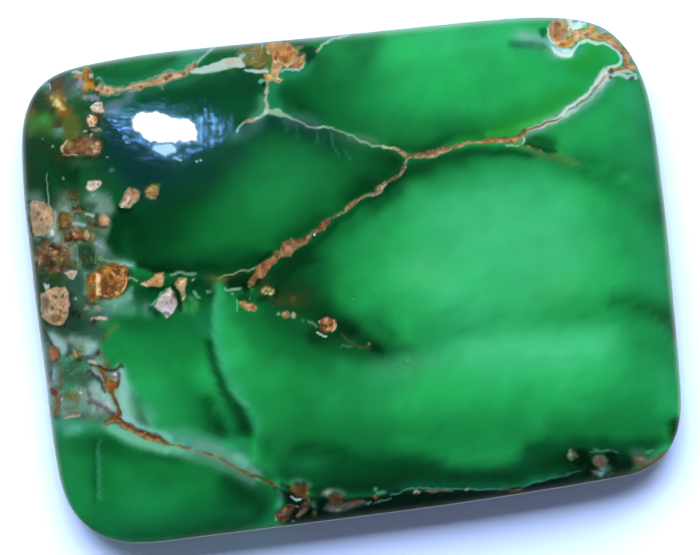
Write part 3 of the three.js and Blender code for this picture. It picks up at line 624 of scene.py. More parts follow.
# Sharp pale lines and flecks of white chert: paint, feather, x,y,half-width.
PALE = """
linen .5 1.2 | 98,83.3,1 104.5,84.6,1.1 110,85.3,1 117,87,.9 123,86.8,.7
linen .5 1.2 | 99,92.2,.9 105,94,1 110,94.8,1 117.5,94.6,.9 124,93,.8
linen .5 1.2 | 129,84.7,.8 133.5,82.8,1.1 140,81.9,.9 147.5,79.2,1 158,76.3,1 165.6,71.9,1 172,70.3,1 178,71.3,.9 182.6,70.3,1 187,66.3,1.1 191.6,64.4,1 196,60.7,1
linen .5 1.2 | 129,92,.8 133.5,91.3,1.1 140.5,90.3,1 148,86.3,1.1 158.7,85.5,1 166.5,82.8,1.1 172.5,79.8,1.1 178.7,78.2,1 183.5,77,1 188,74.6,1 192.5,72,1 197,68,1
frost .7 1.3 | 196,64.5,1.6 199.7,60.6,1.5 207.3,53.7,1.4 211.9,49.1,1.2 218,43,.8
frost .5 1.3 | 96.5,78.5,1 98.9,77.1,1 103.5,81.7,1 106.5,87.8,1
chalky .9 1.8 | 193.6,72.1,2.2 201.2,70.2,3.8 208.9,68.6,4.2 216.5,66.8,5 224.2,64.6,6.2 231.8,62.6,6.2 239.5,62.8,5.2 244,64,2.6
foam .5 2 | 200,73.6,1 210,72,1.4 222,69.6,1.4
frost .8 1.3 | 243.3,55.2,2.8 241,57,2.4
pearl .85 1.2 | 246,69.3,1.2 255,70.3,1.8 262,70.6,1.8 266.8,70.5,1.6
lilac .7 1.2 | 266,68.3,1.4
cream .9 1.1 | 261,46.5,1 260.3,49.5,1.3 261.5,52.5,1
cream .9 1.1 | 268.3,46,1 267.6,49.5,1.2 268.8,53,1
cream .8 1.1 | 295.8,48.4,.8 305.3,55.2,.9 306.3,60.6,.9 303,66.4,.9 297,70.2,.9
sky .85 1.3 | 280.6,71.4,1.1 286,69.4,1.4 292,70.4,1.4 298.9,70.6,1
frost .85 1.2 | 316.5,49.9,1.6 321.1,46.8,1.3 328,42.2,1.2 335.7,39.2,1.1 343.3,36.5,.9 349,34.6,.6
pinkish .7 1.2 | 315.6,50.2,1.9 318,48.6,1.2
linen .9 1.3 | 266,83,1.6 266,86.6,1.9 266.8,93.5,1.5 266.8,101.2,1.5 266.2,107,1.9 265.6,111,2.4
mint .8 1.3 | 262,80,1.2 259.5,82.6,1.8
frost .8 1.3 | 264.5,112.5,2.2 259.9,116.5,1.8 253.8,120.6,1.8 249,121.6,2.4 244,124,1.2 239,128.6,.9 235.7,131.8,.8
frost .8 1.6 | 265.6,111.3,3.2 272.1,111.3,3.2 279.8,112.8,2.4 285.9,116.1,1.6 293.6,119.5,.7 301.2,121.8,.8 307.3,124.9,.7 311.6,126.3,.8 321.4,126.8,1 329.5,128.1,.8 337,130.4,.6 344.6,133,.6 354.5,136.6,.7 357.1,139.3,.7 366.1,142.9,.6 372.3,146,.7 377.7,146.4,.8 383.9,146.4,.9
white .6 1.2 | 318,126.5,.5 322.5,126.9,.7 327,128,.4
cream .9 1.2 | 383.9,146.4,1 390.2,147.3,1.3 394,148.4,1.7 398,150,1.9
frost .85 1.8 | 523,133.4,1.6 531.4,129.4,2.6 541.6,124.6,3 551.8,120.6,3.2 557.1,118.4,3.4 564.3,114.1,4.2 569.6,109.8,5.4 576.8,105.2,4.6 583,100.7,4.2 589.3,95.4,4.8 595.5,89.1,5.6 600.9,81.1,7 606.5,73,7
ice .6 2 | 560,117,1.4 569,111,2.4 578,104.6,2 590,95,2 602,80,2.6
white .75 1.6 | 534,128.6,1 545,123.8,1.4 556,118,1.4 564,112,1.4 571,106.6,1.6 580,100,1.2 590,91,1.4 600,78,2.4 606,72,3
snow .7 1.4 | 564,114,1.6 571,109.6,2.6 575,107,1.6
frost .85 1 | 506,143.9,.9 513,144.8,1 519.2,145.3,1
white .75 1.4 | 519,136.4,.6 524,131.8,1.2 531,128.6,1.6
white .8 1 | 521.2,135,.8 523.4,138,.9 524.2,141,.8 523.6,144,.6
white .8 2 | 551.7,47.5,1.2 557,51,1.5 563,53.9,1.9 570.4,54.4,1.9 574,50.3,1.5 578.3,43.4,1.5 585.7,40.2,1.6 593.8,41.3,1.7 600,43.8,1.7 608.9,45,1.8 616.1,49.6,1.9 620,55.2,1.9 620,62,1.9 616,65.4,2 609,67.4,2
snow .8 1.4 | 564,49.5,1.8 570,50,1.6
white .85 1 | 549,27.5,.8 548.2,33.6,.8 551.5,40,.8 556,43.4,.8
pearl .85 1.4 | 611,71.6,.8 620,71.6,1.2 632,72,1.2
pearl .85 2 | 609,76,1.4 616,74,1.8 622,74.6,1.8 628,77,2.2 634,74.4,1.8 637,78.4,1.4
white .5 1 | 599,88,.8 603,83,1 607,77,1.2
frost .7 1.2 | 225,287.7,1 229.6,290,1.5 236.5,290,1.5 241.1,288.5,1
linen .7 1 | 254.8,268.2,.8 248,270.9,.8 240.3,271.7,.7 232.7,274,.7 225,276.3,.6 217,278,.5
frost .8 1.1 | 249.3,298.7,1.9
spring .8 1.2 | 224.2,298.6,1.8
cream .5 1 | 232.7,294.6,1
mint .8 1 | 236.4,300.7,.9 236.5,305,1 236.6,310.7,.8
sprout .6 1.5 | 251.8,290,1.4
white .85 .9 | 317,333.4,1 320,334,1 325,335.6,1
white .8 .9 | 318.2,322.4,1
sage .6 1.6 | 303,319.8,2
linen .5 1 | 308.4,320.7,.9 316.4,327.9,.9
umber .6 1.6 | 341.4,335,.9 345.9,339.5,1.2 353,342.1,1 360,346,1.2 370,348,1.2
linen .55 1.2 | 367.8,343.9,1.6
linen .3 1.2 | 341,345.7,.9 352,345.7,.9
frost .55 1 | 408,358.7,1
frost .5 1 | 352,298.8,.8
frost .6 1.2 | 170.6,274.9,1 178.3,272.6,1.2 187.4,273.4,1.2 195.1,274.9,.9
frost .85 1.1 | 208.1,291.7,2.5
frost .8 1 | 193.9,279.5,1.4
mint .7 1.2 | 193.6,291.7,1.7 199.7,297.1,1.2
mint .7 1.1 | 150.5,306,1 157,299,1 163,292,1 167.5,288.6,1
frost .7 1.2 | 46,174,.4 47,185,.6 48.2,196,.7 49.5,206,.6
mist .5 2.5 | 29,198.4,1.6 36,197.6,1.8 43,199,1.4
mist .6 2 | 28.6,206,1 28.6,222,1 31,236,1.4 40,239,1.4
frost .7 1.2 | 53.8,212,1 55.2,218,1.2 54,227,1.2
white .85 1 | 49.8,226.5,1.4
frost .9 1.1 | 53,232,2
sky .85 1.1 | 55,237,1.7
white .9 1 | 48.3,246.5,1.3
ice .85 1.2 | 120,265,1 126,264.2,1.7 132,265,1.2
mint .8 1.1 | 114.1,305,1.2
linen .7 1.1 | 128.6,278.4,1 137.8,280.7,1
frost .85 1 | 76.2,297.5,1.2
white .6 1 | 71.6,71.6,1 76,72,1.4 81,73,1
frost .8 1.2 | 91.2,75.6,2.4
white .7 .8 | 49.9,84,.6 49.9,89,.6
haze .8 1.2 | 42,84.4,1.6 47.5,84.6,2
sage .6 1.2 | 372.7,504.8,.8 378.8,501.7,1.1 383.9,499.7,1.1 391,497.7,.8
mist .6 .9 | 391,494.6,.7 397.1,493.6,.7 406.3,490.5,.7 415.5,488.9,.8
sage .7 1 | 415.5,488.5,.8 424.7,487.4,1 431.8,489.1,1.3 438,489,1 442,489.5,.8 447,489.5,.8
mist .55 1 | 447,489.5,.8 460.4,489,.8 470,489.6,.9 477.8,489,1 486,489.1,.7 496.8,489.1,.5 502.1,488.7,.8
mist .4 1 | 516.4,489.4,.7 523.6,488.4,.8 527.1,485.2,.8 532.5,482.7,.8 541.4,480.9,.9 547.7,479.1,.9 555.7,476.9,.9 563.8,474.6,.9 572.7,472.8,.8 579.8,471.5,.7
haze .45 1.6 | 293.9,300.7,2.8
frost .6 1.1 | 43.2,139.1,1
linen .8 1 | 52.8,145.9,1
linen .7 1 | 63.7,177.2,1
linen .8 1 | 109,157.4,1
mist .5 2 | 111.8,170.2,2.5
mist .8 1.4 | 59,130.8,2.2
foam .6 2 | 52,336,.8 56,342,1.4 60,347,1
foam .7 1.8 | 88,347,1.4 93,346,1.8
pearl .6 1.8 | 90,360.6,2 95,361.6,1.8
lilac .8 1.6 | 91.6,370.4,.7 96,372.6,1 99.7,375.4,1 102,380,.8
foam .6 2 | 93,386,1.4 97,391,1.4
white .7 1.4 | 60.8,399.6,1.4
pearl .5 2 | 107,401,1.2 110,406,1.2
white .55 1.2 | 65,417.4,.6 72,417.2,.8 80,416.6,.6
foam .7 1.6 | 53,370,1.2 54,379,1.2
linen .8 1.4 | 46,331,.6 48,336,.5
white .7 1.3 | 81.2,392.8,1.2
foam .6 1.6 | 121,390,1 124,399,1.2 123,408,1
sage .7 1.6 | 76,337,1.6
white .8 1.6 | 51.6,230.6,2 54.6,236.6,1.6
pearl .8 1.6 | 86,214,1.4 91,214.4,1.6 95,216,1
lilac .6 1.8 | 63,209.6,1.3 69,209.8,1
foam .8 1.6 | 72.6,222.8,1.2 79,223.6,1.5 85,225,1.3
cement .7 2 | 97,200,1.4 102,205,1.4
ice .6 1.8 | 96,243,1.2 101,247,1.2
haze .7 1.8 | 100,257,1.3 108,261,1.2 118,262,1.1 128,264,1
haze .6 1.6 | 76.4,247,.7 76.8,258,.8 77,268,.7
haze .5 1.6 | 97,250,.7 96,262,.8
white .6 1.2 | 94.6,195,.9
pearl .8 1.2 | 291,496.6,.8 295,499.2,1.1 300,499.6,1
cream .7 1 | 276,515,.7 275.4,519.6,.7
cream .6 1 | 295.6,504.6,.7 298,507,.7
slate .7 1.4 | 313.4,503.6,.9 314.8,507.4,.9
linen .6 1.6 | 326.4,493,1.3
putty .6 1.2 | 359,502,1 363.6,501.6,.8
mist .6 1.2 | 590.6,452.2,.5 597,450.9,.7 607,450,.7 618,451.5,.5
sage .4 1.4 | 603,469.6,1.4 606,473,1.2
"""
# Matrix: the brown and tan rock in the veins. Each row is a kind (line, fill or
# spot), a paint, a feather, and its run of x,y,half-width, outline, or
# x,y,rx,ry,turn.
ROCK = """
line pale_tan 1 | 98,88,3.2 105,89.4,3.6 109.6,90.1,3.6
line pale_tan 1 | 109.6,90.1,3.4 117.2,90.9,2.4 121.8,90.1,2 126.4,89.4,1.6
line putty .9 | 121,90.4,1.5 127,89.4,1.6
line sand 1.4 | 99,88.6,2 105,89.6,2.2
line pale_tan 1 | 129,88.7,1.6 133.3,87.1,3 140,86.2,3 147.7,82.8,2.3 158.4,80.9,3.3 166,77.4,4 172.1,75.1,3.5 178.3,74.8,2.4 182.9,73.6,2.2 187.4,70.5,2.9 192,68.3,2.6 196.2,64.4,2.4
line tan 1.5 | 133,87.6,1.5 148,83.4,1.2 160,81,1.6 168,77.2,2 173,75.6,1.6 183,73.8,1 190,69.8,1.4
spot orange 1.5 | 152,82,4,1.6,-10
spot amber 1.5 | 189,69.4,2.4,1.6,-30
spot putty 1.2 | 161.8,87.4,2,1.3,20
spot bisque 1.3 | 231,62.1,4,3.2,0
spot shell 1.3 | 241,65,2.4,1.8,0
line khaki 3.5 | 243,52,2.5 256,50,4 262,58,5 256,63,3
line khaki 3 | 246,60,3 256,60,4
fill sand .9 | 264.5,44.5 272.9,42.2 289,41.9 295.1,48.4 305,55.2 305.8,60.6 302.7,66 296.6,69.8 289,68.3 282.8,66 278.3,72.8 276.7,75.9 282.8,79.7 279,82.8 270.6,81.3 266,83.6 263,79 263,73.6 269.1,72.8 272.1,66 272.9,55.2 266,48.4
fill orange 3 | 266,45 273,43 286,42.5 291,47 290,56 284,61 276,60 273,54 267,48.5
spot amber 2.5 | 279,50,5,4,-30
spot ochre 4 | 286,52,10,9,-20
spot amber 2.5 | 292,54,4,3,10
spot brownie 1.8 | 278,52,1.6,2.4,0
spot brownie 1.6 | 287,62,2.6,1.4,10
spot sand 3 | 297,58,5,4,0
spot brownie 2 | 284,57,3.5,3,20
spot brownie 2 | 290,48,3,2.5,0
spot cocoa 1.4 | 276.5,57.5,1.4,2.6,0
spot tan 2.5 | 296,60,6,5,-30
spot orange 2 | 299,61,3,3,10
spot bisque 1.6 | 289,64,3.4,2,-10
spot sand 1.8 | 299.5,46,4,2,20
spot sand 1.5 | 275,68,3,3.6,0
spot amber 1.5 | 266.8,76.7,2.2,2,0
spot cream 1.2 | 276,77.4,2,1.4,0
line brownie 1.4 | 289,66,.6 297,67,.7 302,63,.6
spot bone 1.2 | 265.3,112.3,2.4,2.6,0
spot pinkish 1.2 | 248.6,121.7,2.8,2,-20
line pinkish 1 | 258,118,.8 252,121,1
line stone 1 | 392,148,0.4 396.4,149.4,1.0 400.9,151.8,1.7 405.4,155.4,2.0 408,158,2.0 411,156.4,1.6
line fawn 1 | 398,151.4,0.5 403,153.8,1.1 407,157,1.3
line dun 1 | 407,158,1.7 410.7,156.3,1.6 417.9,153.8,1.7 425,154.3,2.6 433.9,153.4,2.6 440,150.9,2.5 450,148.2,2.1 460,145.6,1.9 465.1,143.8,1.8 475.3,143.6,1.5 485.5,141.5,2.1 495.7,140.5,2.1 505.9,139.5,2.2 513.1,140.2,3.1 517.1,137.8,3.4 523.3,132.8,2.2 531.4,129,1.2 541.6,124.4,0.9 551.8,120.3,0.8 557.1,118.6,0.6
line fawn 1.2 | 413,157.2,0.9 424,156.8,1.5 434,155.6,1.5 443,152.2,1.5 452,149.8,1.1
line rosewood 1.2 | 418,151.6,0.8 425,152,1.4 433,151.4,1.4 440,148.6,1.2 448,147.4,0.6
line fawn 1.4 | 456,147,0.9 463,144.6,1.1 474,144,0.8 487,141.6,1.4 497,140.6,1.4 507,139.6,1.4 514,139.4,2.0 519,136.2,1.6
spot tan 1.5 | 515.6,138.4,2.6,2,-40
spot fawn 1.2 | 520.2,143.6,1.2,1.8,0
line stone .7 | 541.6,124.4,0.4 551.8,120.3,0.5 557.1,118.6,0.4 563,115.6,0.3
line mist 1.4 | 566,113,.3 572,108.8,.8 580,103.6,.9 587,98.4,.7 593,93,.9 597,88,.7
line rose 1.4 | 599,84.4,.4 602,79.6,.8 605,75.4,.7
line grey_green 2.6 | 525.3,145.8,.5 533.5,148.9,.4 541.6,151.9,.4
spot sand .9 | 529,147.4,1.4,.8,20
fill tan 1.1 | 551.8,19 562.5,18.6 566.1,22.1 568.8,29.3 568.3,35.5 564.3,41.8 557.1,42.7 552.7,40 549.1,33.8 549.1,27.5
spot clay 2.4 | 557,33,3.6,5,10
spot brownie 1.8 | 558,24,2.6,2.6,0
spot brownie 1.4 | 555.5,36,1.6,2,0
spot sand 1.4 | 562.6,29,1.3,5,5
spot sand 1.2 | 553,29,1.1,4,5
fill sand .9 | 557,41 566,40 574,41 574,45 566,47 557,46
line cream 1.2 | 569.4,20.6,2 570.8,27,2.4 571.4,34,2.4 571,39.4,2
fill orange .9 | 574.1,32.9 576.8,29.7 588.4,29.3 589.3,23.9 593.8,23.9 594.6,30.2 598.2,32.9 606.3,32.9 614.3,38.2 619.6,42.7 625,48.9 628.6,51.6 630.4,59.6 634.8,62.3 638.4,69.5 625,70.4 614.3,71.3 612.5,68.6 624.1,66.8 623.2,57.9 620.5,50.7 613.4,44.5 607.1,41.8 593.8,39.1 585.7,38.2 575.9,40 567,45.4 561.6,47.1 557.1,44.6 566,41
line sand 2.4 | 578,34,1.6 590,33,2 604,36,2
line straw 1.8 | 584,35.4,.9 596,37,1.1 610,41,1
line tan 1.8 | 612,42,1.6 621,49,2 626,57,2.2 630,65,2.6
spot pinkish 1.4 | 615,40.4,2.4,1.6,35
spot rust 1.5 | 622,52,1.3,2,20
spot clay 2 | 619,69.6,4,1.4,0
spot bisque 1.3 | 631.6,66.6,3,1.6,20
fill snow 1 | 571.4,23 574.1,22.1 586.6,23 587.5,27.5 578.6,29.3 572.3,28.4
fill haze 1.2 | 594.6,24.8 602.7,26.6 611.6,32 607.1,32.9 598.2,31.1
line putty 1 | 407.1,160.7,1.1 405.8,163.4,1.9
line ash 1 | 405.8,164,1.4 403.6,168.8,2.2 400.9,173.2,1.4 394.6,177.7,1.7 389.3,181.3,1.0 383.9,184.8,2.0
line stone 1 | 385.6,184,1.8 383.9,184.8,2.3 378.6,189.3,3.8 375.9,193.2,1.6 368.8,193.8,1.1 362.5,196.4,0.9 357.1,200,1.0
spot drab 1.4 | 379,190,2.6,2,-40
spot bisque 1 | 382.6,187.6,1.2,1.4,0
spot cocoa .9 | 376.6,188.4,.9,1.2,0
line dun 1 | 357.1,200,1.0 352.7,203.6,2.9 348.2,208,2.5 344.6,210.7,0.8 338.4,214.3,0.8 333.9,217,1.0
line fawn 1.1 | 353.4,204.6,1.1 348.4,209,1.2
line peat 1 | 333.9,217,0.8 326.8,221.4,2.9 321.4,227.7,3.4 317,231.3,2.2
spot rust 1.2 | 321.6,227,2.6,2,-45
spot cocoa 1 | 327,221.4,2,1.4,-40
spot rose 1 | 323.6,229.6,1.3,1,0
line drab 1.2 | 317,231.3,1.7 311.5,234.9,1.9 305.3,239.8,2.5 298.5,243.4,3.0
line fawn 1.4 | 309,236.4,.8 304,240.6,1 299.6,243.6,1
line wine .9 | 306,238,.7 301.6,240.4,.9 297,241.4,.7
fill drab 1.4 | 280.9,246.4 284.7,241.1 291.6,238 296.2,240.3 301.5,238.8 307.6,239.5 306.1,243.4 298.5,248 292.3,253.3 290.8,256.4 281.6,257.9 278.6,253.3 274,253.3 274.7,250.3 280.1,250.3
spot tan 1.8 | 287,247,3.2,2,-35
spot rosewood 1.6 | 300,241,3,1.3,-10
spot rust 1.2 | 284,249.4,1.6,2,0
spot rust 1.2 | 292.6,244.4,2.4,1.1,-30
spot cream 1 | 281.2,254.4,1.6,1.4,0
spot brick 1.2 | 287.4,253.4,2.2,1.3,-30
line drab 1 | 281,255,1.8 275.5,257.9,3.1 270.9,261.7,3.8
fill russet .9 | 255.6,266.3 261.7,261.7 272.4,257.1 280.1,255.6 274,262.5 270.1,267.8 266.3,274 261,277 257.1,276.3 255.6,272.4
spot brick 1.4 | 264.6,265,3.4,1.8,-30
spot clay 1.4 | 260.6,270.6,2.4,2.2,0
spot cocoa 1 | 267.4,269.4,1,2.4,30
spot rose 1.2 | 272.6,259.6,2.4,1.2,-30
spot rust 1 | 258.6,274.4,1.6,1.2,0
line drab 1 | 256.4,273.5,1.8 253.2,277.6,2.2 250.6,281,2.4 248.7,286.2,1.9
line umber 1.1 | 257,276,1.2 254,280,1.8 251.6,284,1.5
fill clay 1.6 | 239.4,301.6 247,301.6 255,305.4 257.6,309.4 254,311.6 246,309.6 239.6,305.6
spot cream 1.1 | 240.8,303.4,2,1.4,10
spot bisque 1.2 | 247.4,304.4,3,1.2,14
spot redbrown 1.4 | 251.8,308,2.6,1,20
fill khaki 2 | 261.6,287 265,284.8 270,285 273.6,288.6 273.4,292.8 269.6,295.4 264.4,294.8 261.4,291
spot pinkish 1.2 | 263.4,289.4,1.2,2.2,0
line cream 1 | 273.4,289.6,.8 272.8,292.8,1 269.4,294.8,1
spot straw 1.4 | 267.6,288,2.6,1.6,0
spot hollow 3 | 292.9,301,4.4,3.6,0
spot hollow 3 | 281,303,4,2.6,0
spot umber 2 | 293,299,2,1.6,0
spot clay 1 | 285.4,314.5,4.6,3.6,10
spot sand 1 | 283.4,313.6,1.8,1.6,0
spot linen 1 | 293.1,315.3,2.2,3.6,0
spot mint 1.2 | 277.8,313,1.4,1,0
spot bark 1.8 | 326.3,325.2,7.6,7.2,0
spot clay 1.6 | 327,324.6,5.6,5.4,0
spot sand 1.6 | 324,320.6,4,2,0
line bisque 1.1 | 333,321.6,1.2 333.8,325.6,1.5 332,329.8,1.2
line cocoa 1 | 320.6,325,.9 324,326.8,1.2 328,326,1.2 331,323.6,.8
spot sand 1.2 | 327.4,329,2.4,1.5,-10
spot rust 1 | 321.6,321.4,1.4,1.8,0
spot rust 1.2 | 329,321.4,1.8,1.1,0
fill tan .9 | 140,283.3 149.9,280.2 155.3,274.1 163,272.6 164.9,278 162.2,286.4 155.3,287.1 146.9,287.1
line cream 1.1 | 140.6,283.6,.8 146,284.6,1 149,281.6,.7
spot brownie 1.4 | 157.6,281.6,2.2,1.6,-20
spot bisque 1.2 | 160.4,276,1.6,2,20
spot rust .9 | 152.6,284.4,1.2,1,0
fill shell .9 | 152.6,307 159.1,297.8 169.1,287.9 171.4,287.1 176,297.8 176.7,304.7 174.4,311.6 168.3,316.2 166.8,318.1 159.9,311.6
spot lilac 1.8 | 165,303.4,3.4,4.4,20
spot slate 1.6 | 167,313.4,4,1.8,-20
line bone 1 | 157,304,1 163,297,1.4 169.6,291,1.4
spot putty 1.2 | 171.6,300.4,1.3,3,0
fill pale_tan 1.4 | 172.9,285.6 178.3,277.2 187.4,277.2 185.9,287.1 184.4,297.8 182.1,300.9 179.8,293.3 176,286.4
spot bisque 1.4 | 181.4,283.4,2.6,3.4,10
spot sage 1.6 | 182.2,293.4,1.6,3.4,10
fill linen 1 | 91.4,107 95.9,102.6 101.6,101.3 104.5,112.1 99.1,112.8 94,111.5
spot bone 1.2 | 99,104.6,2.6,2,0
spot pinkish 1.2 | 97.2,107.9,2.6,1.6,-20
spot rose 1 | 100.8,110,1.6,1.3,0
fill sand .9 | 87,117.9 92.1,115.3 95.9,117.2 97.5,122.3 94,127.4 88.9,126.8 86.6,122.3
spot bisque 1.2 | 90.4,118.8,2,1.5,0
spot clay 1.3 | 93,123.2,1.8,2,0
spot cocoa .8 | 90,123,.7,1.5,10
spot pinkish .9 | 91.4,130,1.4,1,0
spot linen .9 | 95.9,130.6,1.2,1,0
spot cream .9 | 85,131.3,1.3,1.1,0
spot sky .9 | 90.8,135.2,1.4,1,0
fill peat 1.8 | 62.1,151 62.7,144.6 67.2,139.5 77.4,138.3 87,136.4 95.3,136.4 102.3,140.8 102.9,148.5 99.1,154.2 92.1,155.5 83.8,154.2 77.4,155.5 71,154.2 63.4,154.8
spot khaki 2 | 68,145,4.4,4,0
spot redbrown 1.8 | 71.4,151.4,3.6,2,0
spot bark 2 | 80,147.4,4.4,4,0
spot khaki 1.6 | 88,146,2,2.4,0
spot dun 1.8 | 96.4,147.6,4.8,5.6,10
spot bisque 1.3 | 99,143.4,2,2,0
spot pinkish 1.3 | 95.6,152,2.4,1.4,0
spot rust 1.4 | 87.6,150.4,2,2.4,0
spot brownie 1 | 91.4,140.8,1.6,1.4,0
spot sand .9 | 92.7,145.9,1.2,1,0
line cream 1 | 62.4,152,.8 62.4,146.4,.9 66.6,140.8,.7
line linen 1 | 63.8,154.9,.7 71,155.2,.8 76.4,156,.9
spot cocoa .9 | 84.4,143.2,.8,2.4,20
spot cocoa .9 | 75.6,143.6,1.8,.8,0
fill bone .9 | 86.2,186.1 88.9,182.3 93.5,180.4 99.6,180.4 102.2,183.1 98.8,187.3 93.5,189.6 87.3,189.2
spot sand 1.2 | 91.6,185.6,2,1.4,-20
spot pinkish 1.1 | 97.8,184.4,1.8,1.2,0
fill putty 1.2 | 120.2,205.2 122.9,196.1 127.1,188.4 132.5,187.3 138.6,189.9 140,195.3 137.8,200.7 133.2,206 127.9,209.5 122.5,206.8
spot clay 1.8 | 132.6,195.4,4,4,30
spot tan 1.8 | 127,200,3,4,20
spot pinkish 1.4 | 125.6,203.6,3,2.6,-40
spot umber 1 | 129.4,201.4,1,2.6,40
spot bisque 1.2 | 129,191.6,2.4,1.6,-20
line bone .8 | 122.6,204.6,.7 126,201,.7 128,197,.6
fill bark 3 | 146,187 152,184 157,187 158,192 155,197 150,199 146,196 145,191
spot khaki 3 | 154,190,4,4,0
spot moss 3 | 158,186,3,2.4,0
spot tan 2 | 149,190,2.6,2.4,0
spot umber 1.4 | 154.4,195.4,1.8,3,20
fill pale_tan 1.2 | 31.5,199.9 43,200.3 50.6,208.3 53.7,216 52.1,225.9 48.3,232.8 43,236.2 34.5,236.6 31.5,229 29.9,216.7 30.3,206
spot sand 2.2 | 45.6,215,3.6,6,-10
spot tan 2.2 | 36,224.6,4,5.6,0
spot brownie 1.2 | 38,214,1.6,2,0
spot brownie 1 | 35.6,217.4,1,1.4,0
spot bisque 1.4 | 37,205.4,4,2,10
spot tan 1.4 | 47.4,227.4,2,2.4,0
spot cocoa .8 | 42,219.6,.8,1.2,0
spot cocoa .8 | 44.4,208.8,1.1,.7,30
fill drab 3 | 38,246 48,242 58,244 66,246 68,256 66,266 60,272 50,272 41,268 38,258
spot umber 2.5 | 46.8,259.6,6,6,0
spot tan 1.3 | 38.6,262,1.4,5,0
spot tan 1.8 | 53.6,253.8,2.6,2,0
spot putty 2 | 46,248,3.4,2,10
spot ash 2 | 62.6,270.6,3,2,0
spot shade 2.4 | 43,266,3,3,0
fill bone 1 | 64.4,272.2 69,269.6 76.2,270.7 76.6,274.5 72.8,279.1 67.4,278.4
spot sand 1.2 | 70.6,273.8,2.8,1.8,0
fill shell .9 | 42.2,284.5 48.3,283.7 49.1,286.8 44.5,290.6
fill pale_tan 1.2 | 40.7,293.7 46.8,289 56.7,286.4 65.1,286.8 69,292.1 69.7,299.8 68.2,309 65.9,318.2 61.3,325 50.6,323.5 43,320.4 40.7,309.7
spot sand 2.2 | 52,293.6,5,3.6,-15
spot tan 2.2 | 60.6,303,4,5.6,0
spot bark 2.2 | 55.6,318,6,4,0
spot pinkish 1.4 | 67,300,1.6,7,0
spot stone 1.6 | 42.8,305.4,1.6,8,0
spot brownie 1.2 | 56,296.7,1.8,1.3,0
spot brownie 1.2 | 53,309,1.6,1.8,0
spot brownie 1 | 59.8,311,1.3,1.2,0
spot soot 1 | 46.4,301.3,1.6,1.8,0
spot cream 1.1 | 48.6,291.8,2,1,-30
spot cocoa .8 | 62.4,295.6,.7,2.2,10
fill brownie 1.6 | 85.8,283.7 87.3,275.3 95,272.2 100.3,269.2 106.5,264.6 112.6,263.1 119.5,265.4 127.1,266.1 128.6,269.9 126.7,273.8 126.4,283 124.8,289.1 120.2,292.9 117.2,296.7 108,297.5 100.3,296.7 96.5,299.8 90.4,302.1 88.1,298.3 85.8,290.6
spot dun 2.4 | 90.4,288,3.6,9,0
spot peat 1.8 | 91.6,295,2.6,2.6,0
spot ochre 1.6 | 90,283,1.6,1.6,0
spot rust 2 | 92,278.4,3,2.4,-20
fill peach 1 | 95.7,273.8 99.6,274.5 100,285.3 100.7,295.2 95.4,295.2 94.6,285.3
line bisque 1 | 107.2,266.9,.8 110.4,271,1.1 114.1,276,.8
spot russet 2 | 120,283,3.6,4.4,0
spot clay 1.6 | 121.6,279,2.4,2,0
spot sand 1.4 | 122.4,271,2.6,1.8,0
spot umber 2 | 107,287,3.4,5,0
spot brownie 2.4 | 112,282,3,5,10
spot peat 2 | 104,291,3,2.4,0
spot peat 1.8 | 114,287,2.4,3.4,20
spot peat 1.8 | 110,275.6,2,2,0
spot ochre 2 | 108,270,4,3,0
spot umber 2 | 90,294,2.4,4,0
spot umber 1.4 | 104.6,278.4,1.4,4,10
spot peat 1.4 | 123,287,1.6,2.4,0
spot peat 1.2 | 89,276,1.6,1.3,0
spot soot 1 | 105.6,293,1.2,.9,0
spot soot 1 | 119,270.4,1.1,.8,0
spot umber 1.3 | 113.4,290.4,3,1.4,-20
spot sand 1.3 | 117,276.8,1.6,1.8,0
spot orange 1.5 | 105.4,271.6,2,2,0
spot bisque 1.2 | 117.2,292.4,1.8,1.2,0
spot putty 1.2 | 98,308.2,2.6,2.2,0
spot putty 1.2 | 86.6,308.2,2.6,2.1,0
line bone 1.2 | 92,319,1.4 98,317.4,1.9 104,318,1.6 107,318.6,1
line drab 1 | 113,416,2.2 115.9,418.3,3.2 119.6,423,2.5 123.6,427.4,2.4 131.2,429,2.0 137.3,432.8,2.0 143.4,436.6,2.8 151.1,438.1,2.8 158.8,440.4,2.5 166.4,444.3,1.4 175.6,445,1.0 184.8,448.9,1.4 190,448.5,1.0
line fawn 1.1 | 117,421,1.0 124,428,1.0 132,430,1.0 142,436.8,1.2 151,439,1.3 159,441,1.1
line rosewood 1 | 120,420.4,.8 128,426.8,.9 138,431,.8 147,434.8,.9 156,437.4,.9 164,441.4,.7
line stone 1.4 | 196,450.6,0.4 202.8,452.1,1.2 209,454.4,1.9 215.1,456.7,1.5 220,458,1.0
line drab 1 | 204,452.8,.7 209,454.8,1 214,456.6,.7
line ash 1.5 | 221.2,458.3,0.9 228.9,462.8,1.2 236.5,469,1.1 244.2,472,1.3 251.8,475.9,1.4 257.7,477.7,1.3 265.3,481.5,1.3 273,485.3,1.4
line bark 1 | 232,465.4,.6 244,472.4,.8 258,478.2,.9 268,483,1
spot stone 1.4 | 367.6,502.8,2.6,1.9,0
fill rust 1 | 372.6,497 374.4,494 378,494.4 378.6,498 375.8,499.8
spot sand 1 | 376.2,495.2,1.2,.8,0
spot sand 1 | 416.5,492.6,2.8,2,0
spot bisque .9 | 415.8,491.8,1.3,.9,0
spot sand .9 | 465.5,490.2,2,1,0
line brownie .7 | 503,489.6,.5 509,490.2,.6 516.4,490.9,.8 522,490.3,.6
line stone .8 | 425,490.8,.6 436,491,.8 452,490.6,.7
fill redbrown 1.6 | 50.6,344.4 56,349 59.4,352.4 57.8,358.6 52.4,361 48.8,359 48.6,351
spot bark 2 | 53,351,2.4,3,0
fill olive 1.4 | 72,353.8 78.2,351.5 80,354 78.4,358 73,357.6
spot straw 1 | 74.6,354.4,1.5,1.3,0
spot clay 1.4 | 81.6,355,1.6,1.8,0
